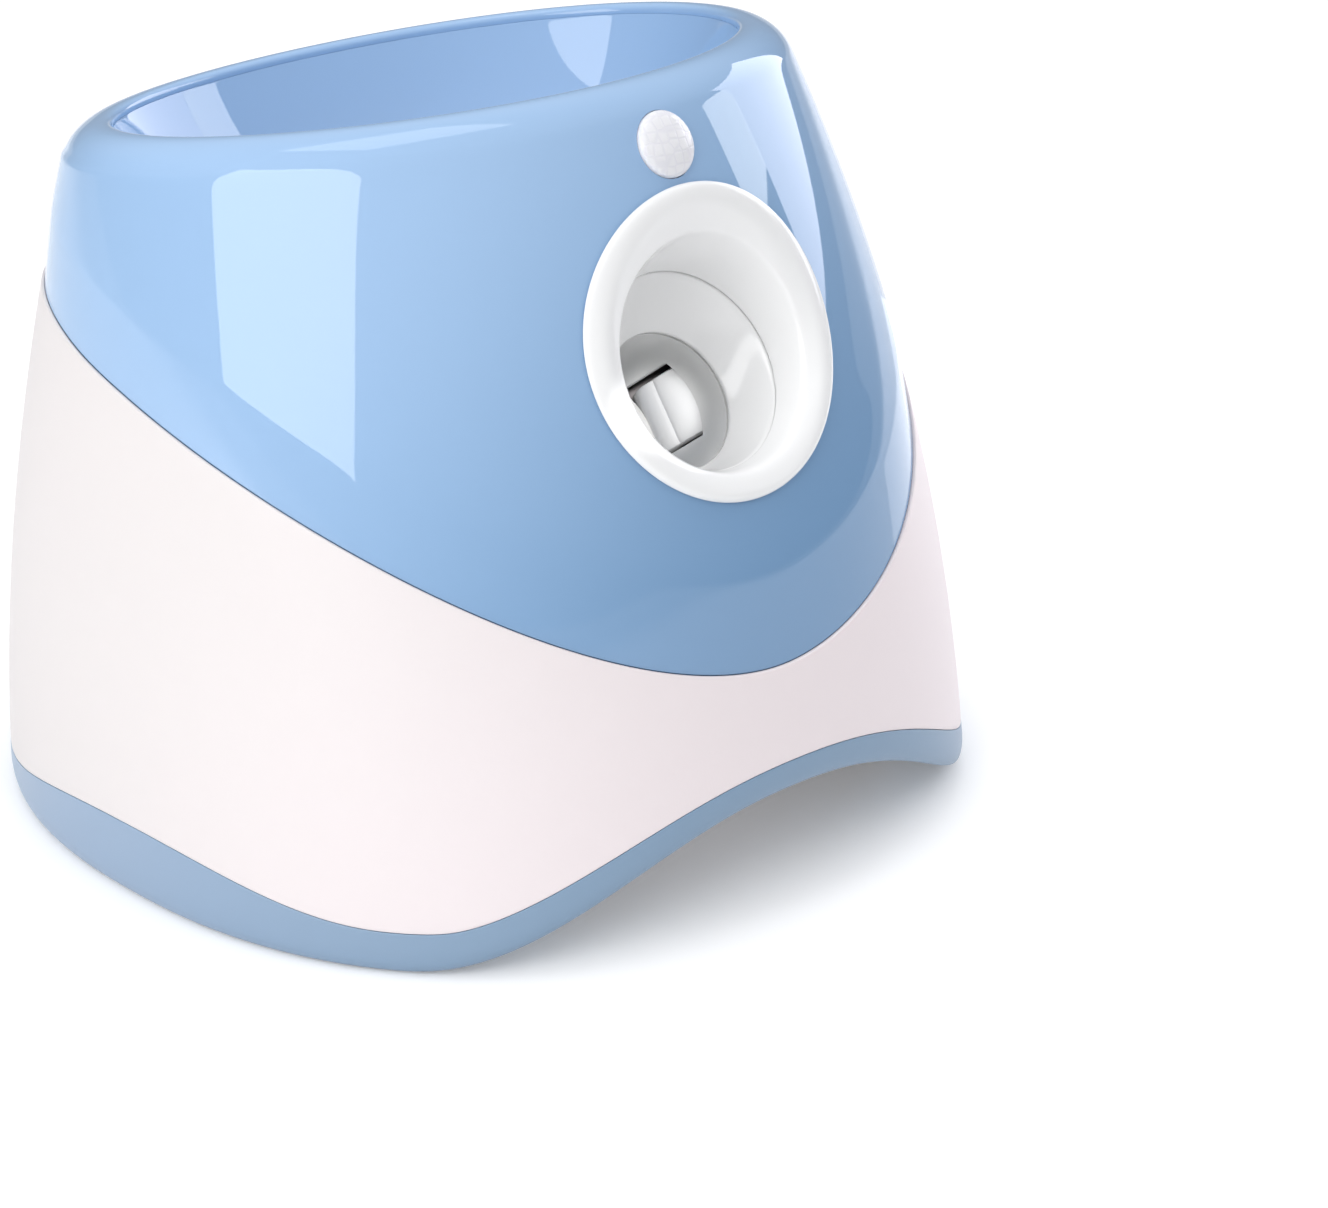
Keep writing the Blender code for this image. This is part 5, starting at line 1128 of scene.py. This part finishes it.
def floor_finish():
    """Matt pale floor that dims far out, lifted a little for the camera, mirrored and refracted views."""
    material = bpy.data.materials.new("studio_floor_finish")
    material.use_nodes = True
    tree = material.node_tree
    shader = tree.nodes["Principled BSDF"]
    place = tree.nodes.new("ShaderNodeTexCoord")
    away = tree.nodes.new("ShaderNodeVectorMath")
    away.operation = 'LENGTH'
    tree.links.new(place.outputs["Object"], away.inputs[0])
    fade = map_range(tree, away.outputs["Value"], FLOOR_FADE)
    tree.links.new(colour_mix(tree, [FLOOR_ALBEDOS] * 3, fade), shader.inputs["Base Color"])
    fill(shader, {"Roughness": FLOOR_ROUGHNESS, "Specular IOR Level": 0.0, "Emission Color": (1, 1, 1, 1)})
    path = tree.nodes.new("ShaderNodeLightPath")
    seen = path.outputs["Is Camera Ray"]
    for name in ("Is Glossy Ray", "Is Transmission Ray"):
        most = tree.nodes.new("ShaderNodeMath")
        most.operation = 'MAXIMUM'
        tree.links.new(seen, most.inputs[0])
        tree.links.new(path.outputs[name], most.inputs[1])
        seen = most.outputs["Value"]
    lift = tree.nodes.new("ShaderNodeMath")
    lift.operation = 'MULTIPLY'
    lift.inputs[1].default_value = FLOOR_LIFT
    tree.links.new(seen, lift.inputs[0])
    tree.links.new(lift.outputs["Value"], shader.inputs["Emission Strength"])
    return material


def area_light(name, centre, out, level, size, radiance, colour=(1, 1, 1)):
    """A soft box of the given radiance. It shines along out, and its first side runs along level."""
    data = bpy.data.lights.new(name, 'AREA')
    data.shape = 'RECTANGLE'
    data.size, data.size_y = size
    data.energy = radiance * pi * size[0] * size[1]
    data.color = colour
    lamp = bpy.data.objects.new(name, data)
    bpy.context.scene.collection.objects.link(lamp)
    out, level = Vector(out).normalized(), Vector(level).normalized()
    lamp.matrix_world = frame_from(Vector(centre), level, level.cross(out), -out)
    lamp.visible_camera = False


def standing_box(name, azimuths, distance, heights, radiance, lean=0.0, roll=0.0, colour=(1, 1, 1)):
    """A soft box that stands between two azimuths round the part and leans in."""
    middle, half = radians(sum(azimuths) / 2), radians(abs(azimuths[1] - azimuths[0]) / 2)
    low, high = heights
    away = Vector((sin(middle), cos(middle), 0))
    level = Vector((cos(middle), -sin(middle), 0))
    up = (Vector((0, 0, 1)) * cos(lean) - away * sin(lean)).normalized()
    length = (high - low) / cos(lean)
    centre = away * distance + Vector((0, 0, low)) + up * length / 2
    out = level.cross(up)
    level = Matrix.Rotation(roll, 3, out) @ level
    area_light(name, centre, out, level, (2 * distance * tan(half), length), radiance, colour)


def make_light():
    """Studio light: boxes round, beside and over the part, a bright room and a spot into the throat."""
    world = bpy.data.worlds.new("studio_world")
    world.use_nodes = True
    room_brightness(world.node_tree)
    bpy.context.scene.world = world
    for box in STANDING_BOXES:
        standing_box(**box)
    for box in LEVEL_BOXES:
        area_light(**box)
    throat_light()


def throat_light():
    """A small soft-edged spot from the camera's side that reaches the wheel inside the throat."""
    data = bpy.data.lights.new("throat_spot", 'SPOT')
    data.energy = SPOT_POWER
    data.spot_size = SPOT_ANGLE
    data.spot_blend = SPOT_BLEND
    data.shadow_soft_size = SPOT_RADIUS
    lamp = bpy.data.objects.new("throat_spot", data)
    bpy.context.scene.collection.objects.link(lamp)
    target = in_barrel(WHEEL_DEPTH / 2, 0.0, SPOT_SIDE)
    out = Vector(CAMERA_FORWARD)
    level = Vector(CAMERA_RIGHT)
    lamp.matrix_world = frame_from(target - SPOT_DISTANCE * out, level, level.cross(out), -out)
    lamp.visible_glossy = False


def room_brightness(tree):
    """A room that is bright overhead and dim at the height of the table."""
    place = tree.nodes.new("ShaderNodeTexCoord")
    parts = tree.nodes.new("ShaderNodeSeparateXYZ")
    tree.links.new(place.outputs["Generated"], parts.inputs["Vector"])
    background = tree.nodes["Background"]
    fill(background, {"Color": ROOM_COLOUR})
    tree.links.new(map_range(tree, parts.outputs["Z"], ROOM_BAND, ROOM_LEVELS), background.inputs["Strength"])


def make_camera():
    data = bpy.data.cameras.new("photo_camera")
    data.lens = CAMERA_LENS
    data.sensor_width = CAMERA_SENSOR
    data.shift_x, data.shift_y = CAMERA_SHIFT
    data.clip_end = CAMERA_REACH
    camera = bpy.data.objects.new("photo_camera", data)
    bpy.context.scene.collection.objects.link(camera)
    back = [-value for value in CAMERA_FORWARD]
    camera.matrix_world = frame_from(Vector(CAMERA_PLACE), CAMERA_RIGHT, CAMERA_UP, back)
    bpy.context.scene.camera = camera


def main():
    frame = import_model()
    bpy.context.scene.view_settings.view_transform = 'Standard'
    finishes = make_finishes()
    dress_nodes(frame, finishes)
    make_camera()
    make_light()
    make_floor()
    for make in (make_upper_shell, make_lower_shell, make_base_skirt, make_hopper_bowl, make_muzzle_ring,
                 make_throat_funnel, make_barrel, make_feed_tube, make_wheels, make_lens, make_panel,
                 make_buttons, make_socket, make_feet):
        make(finishes)


main()
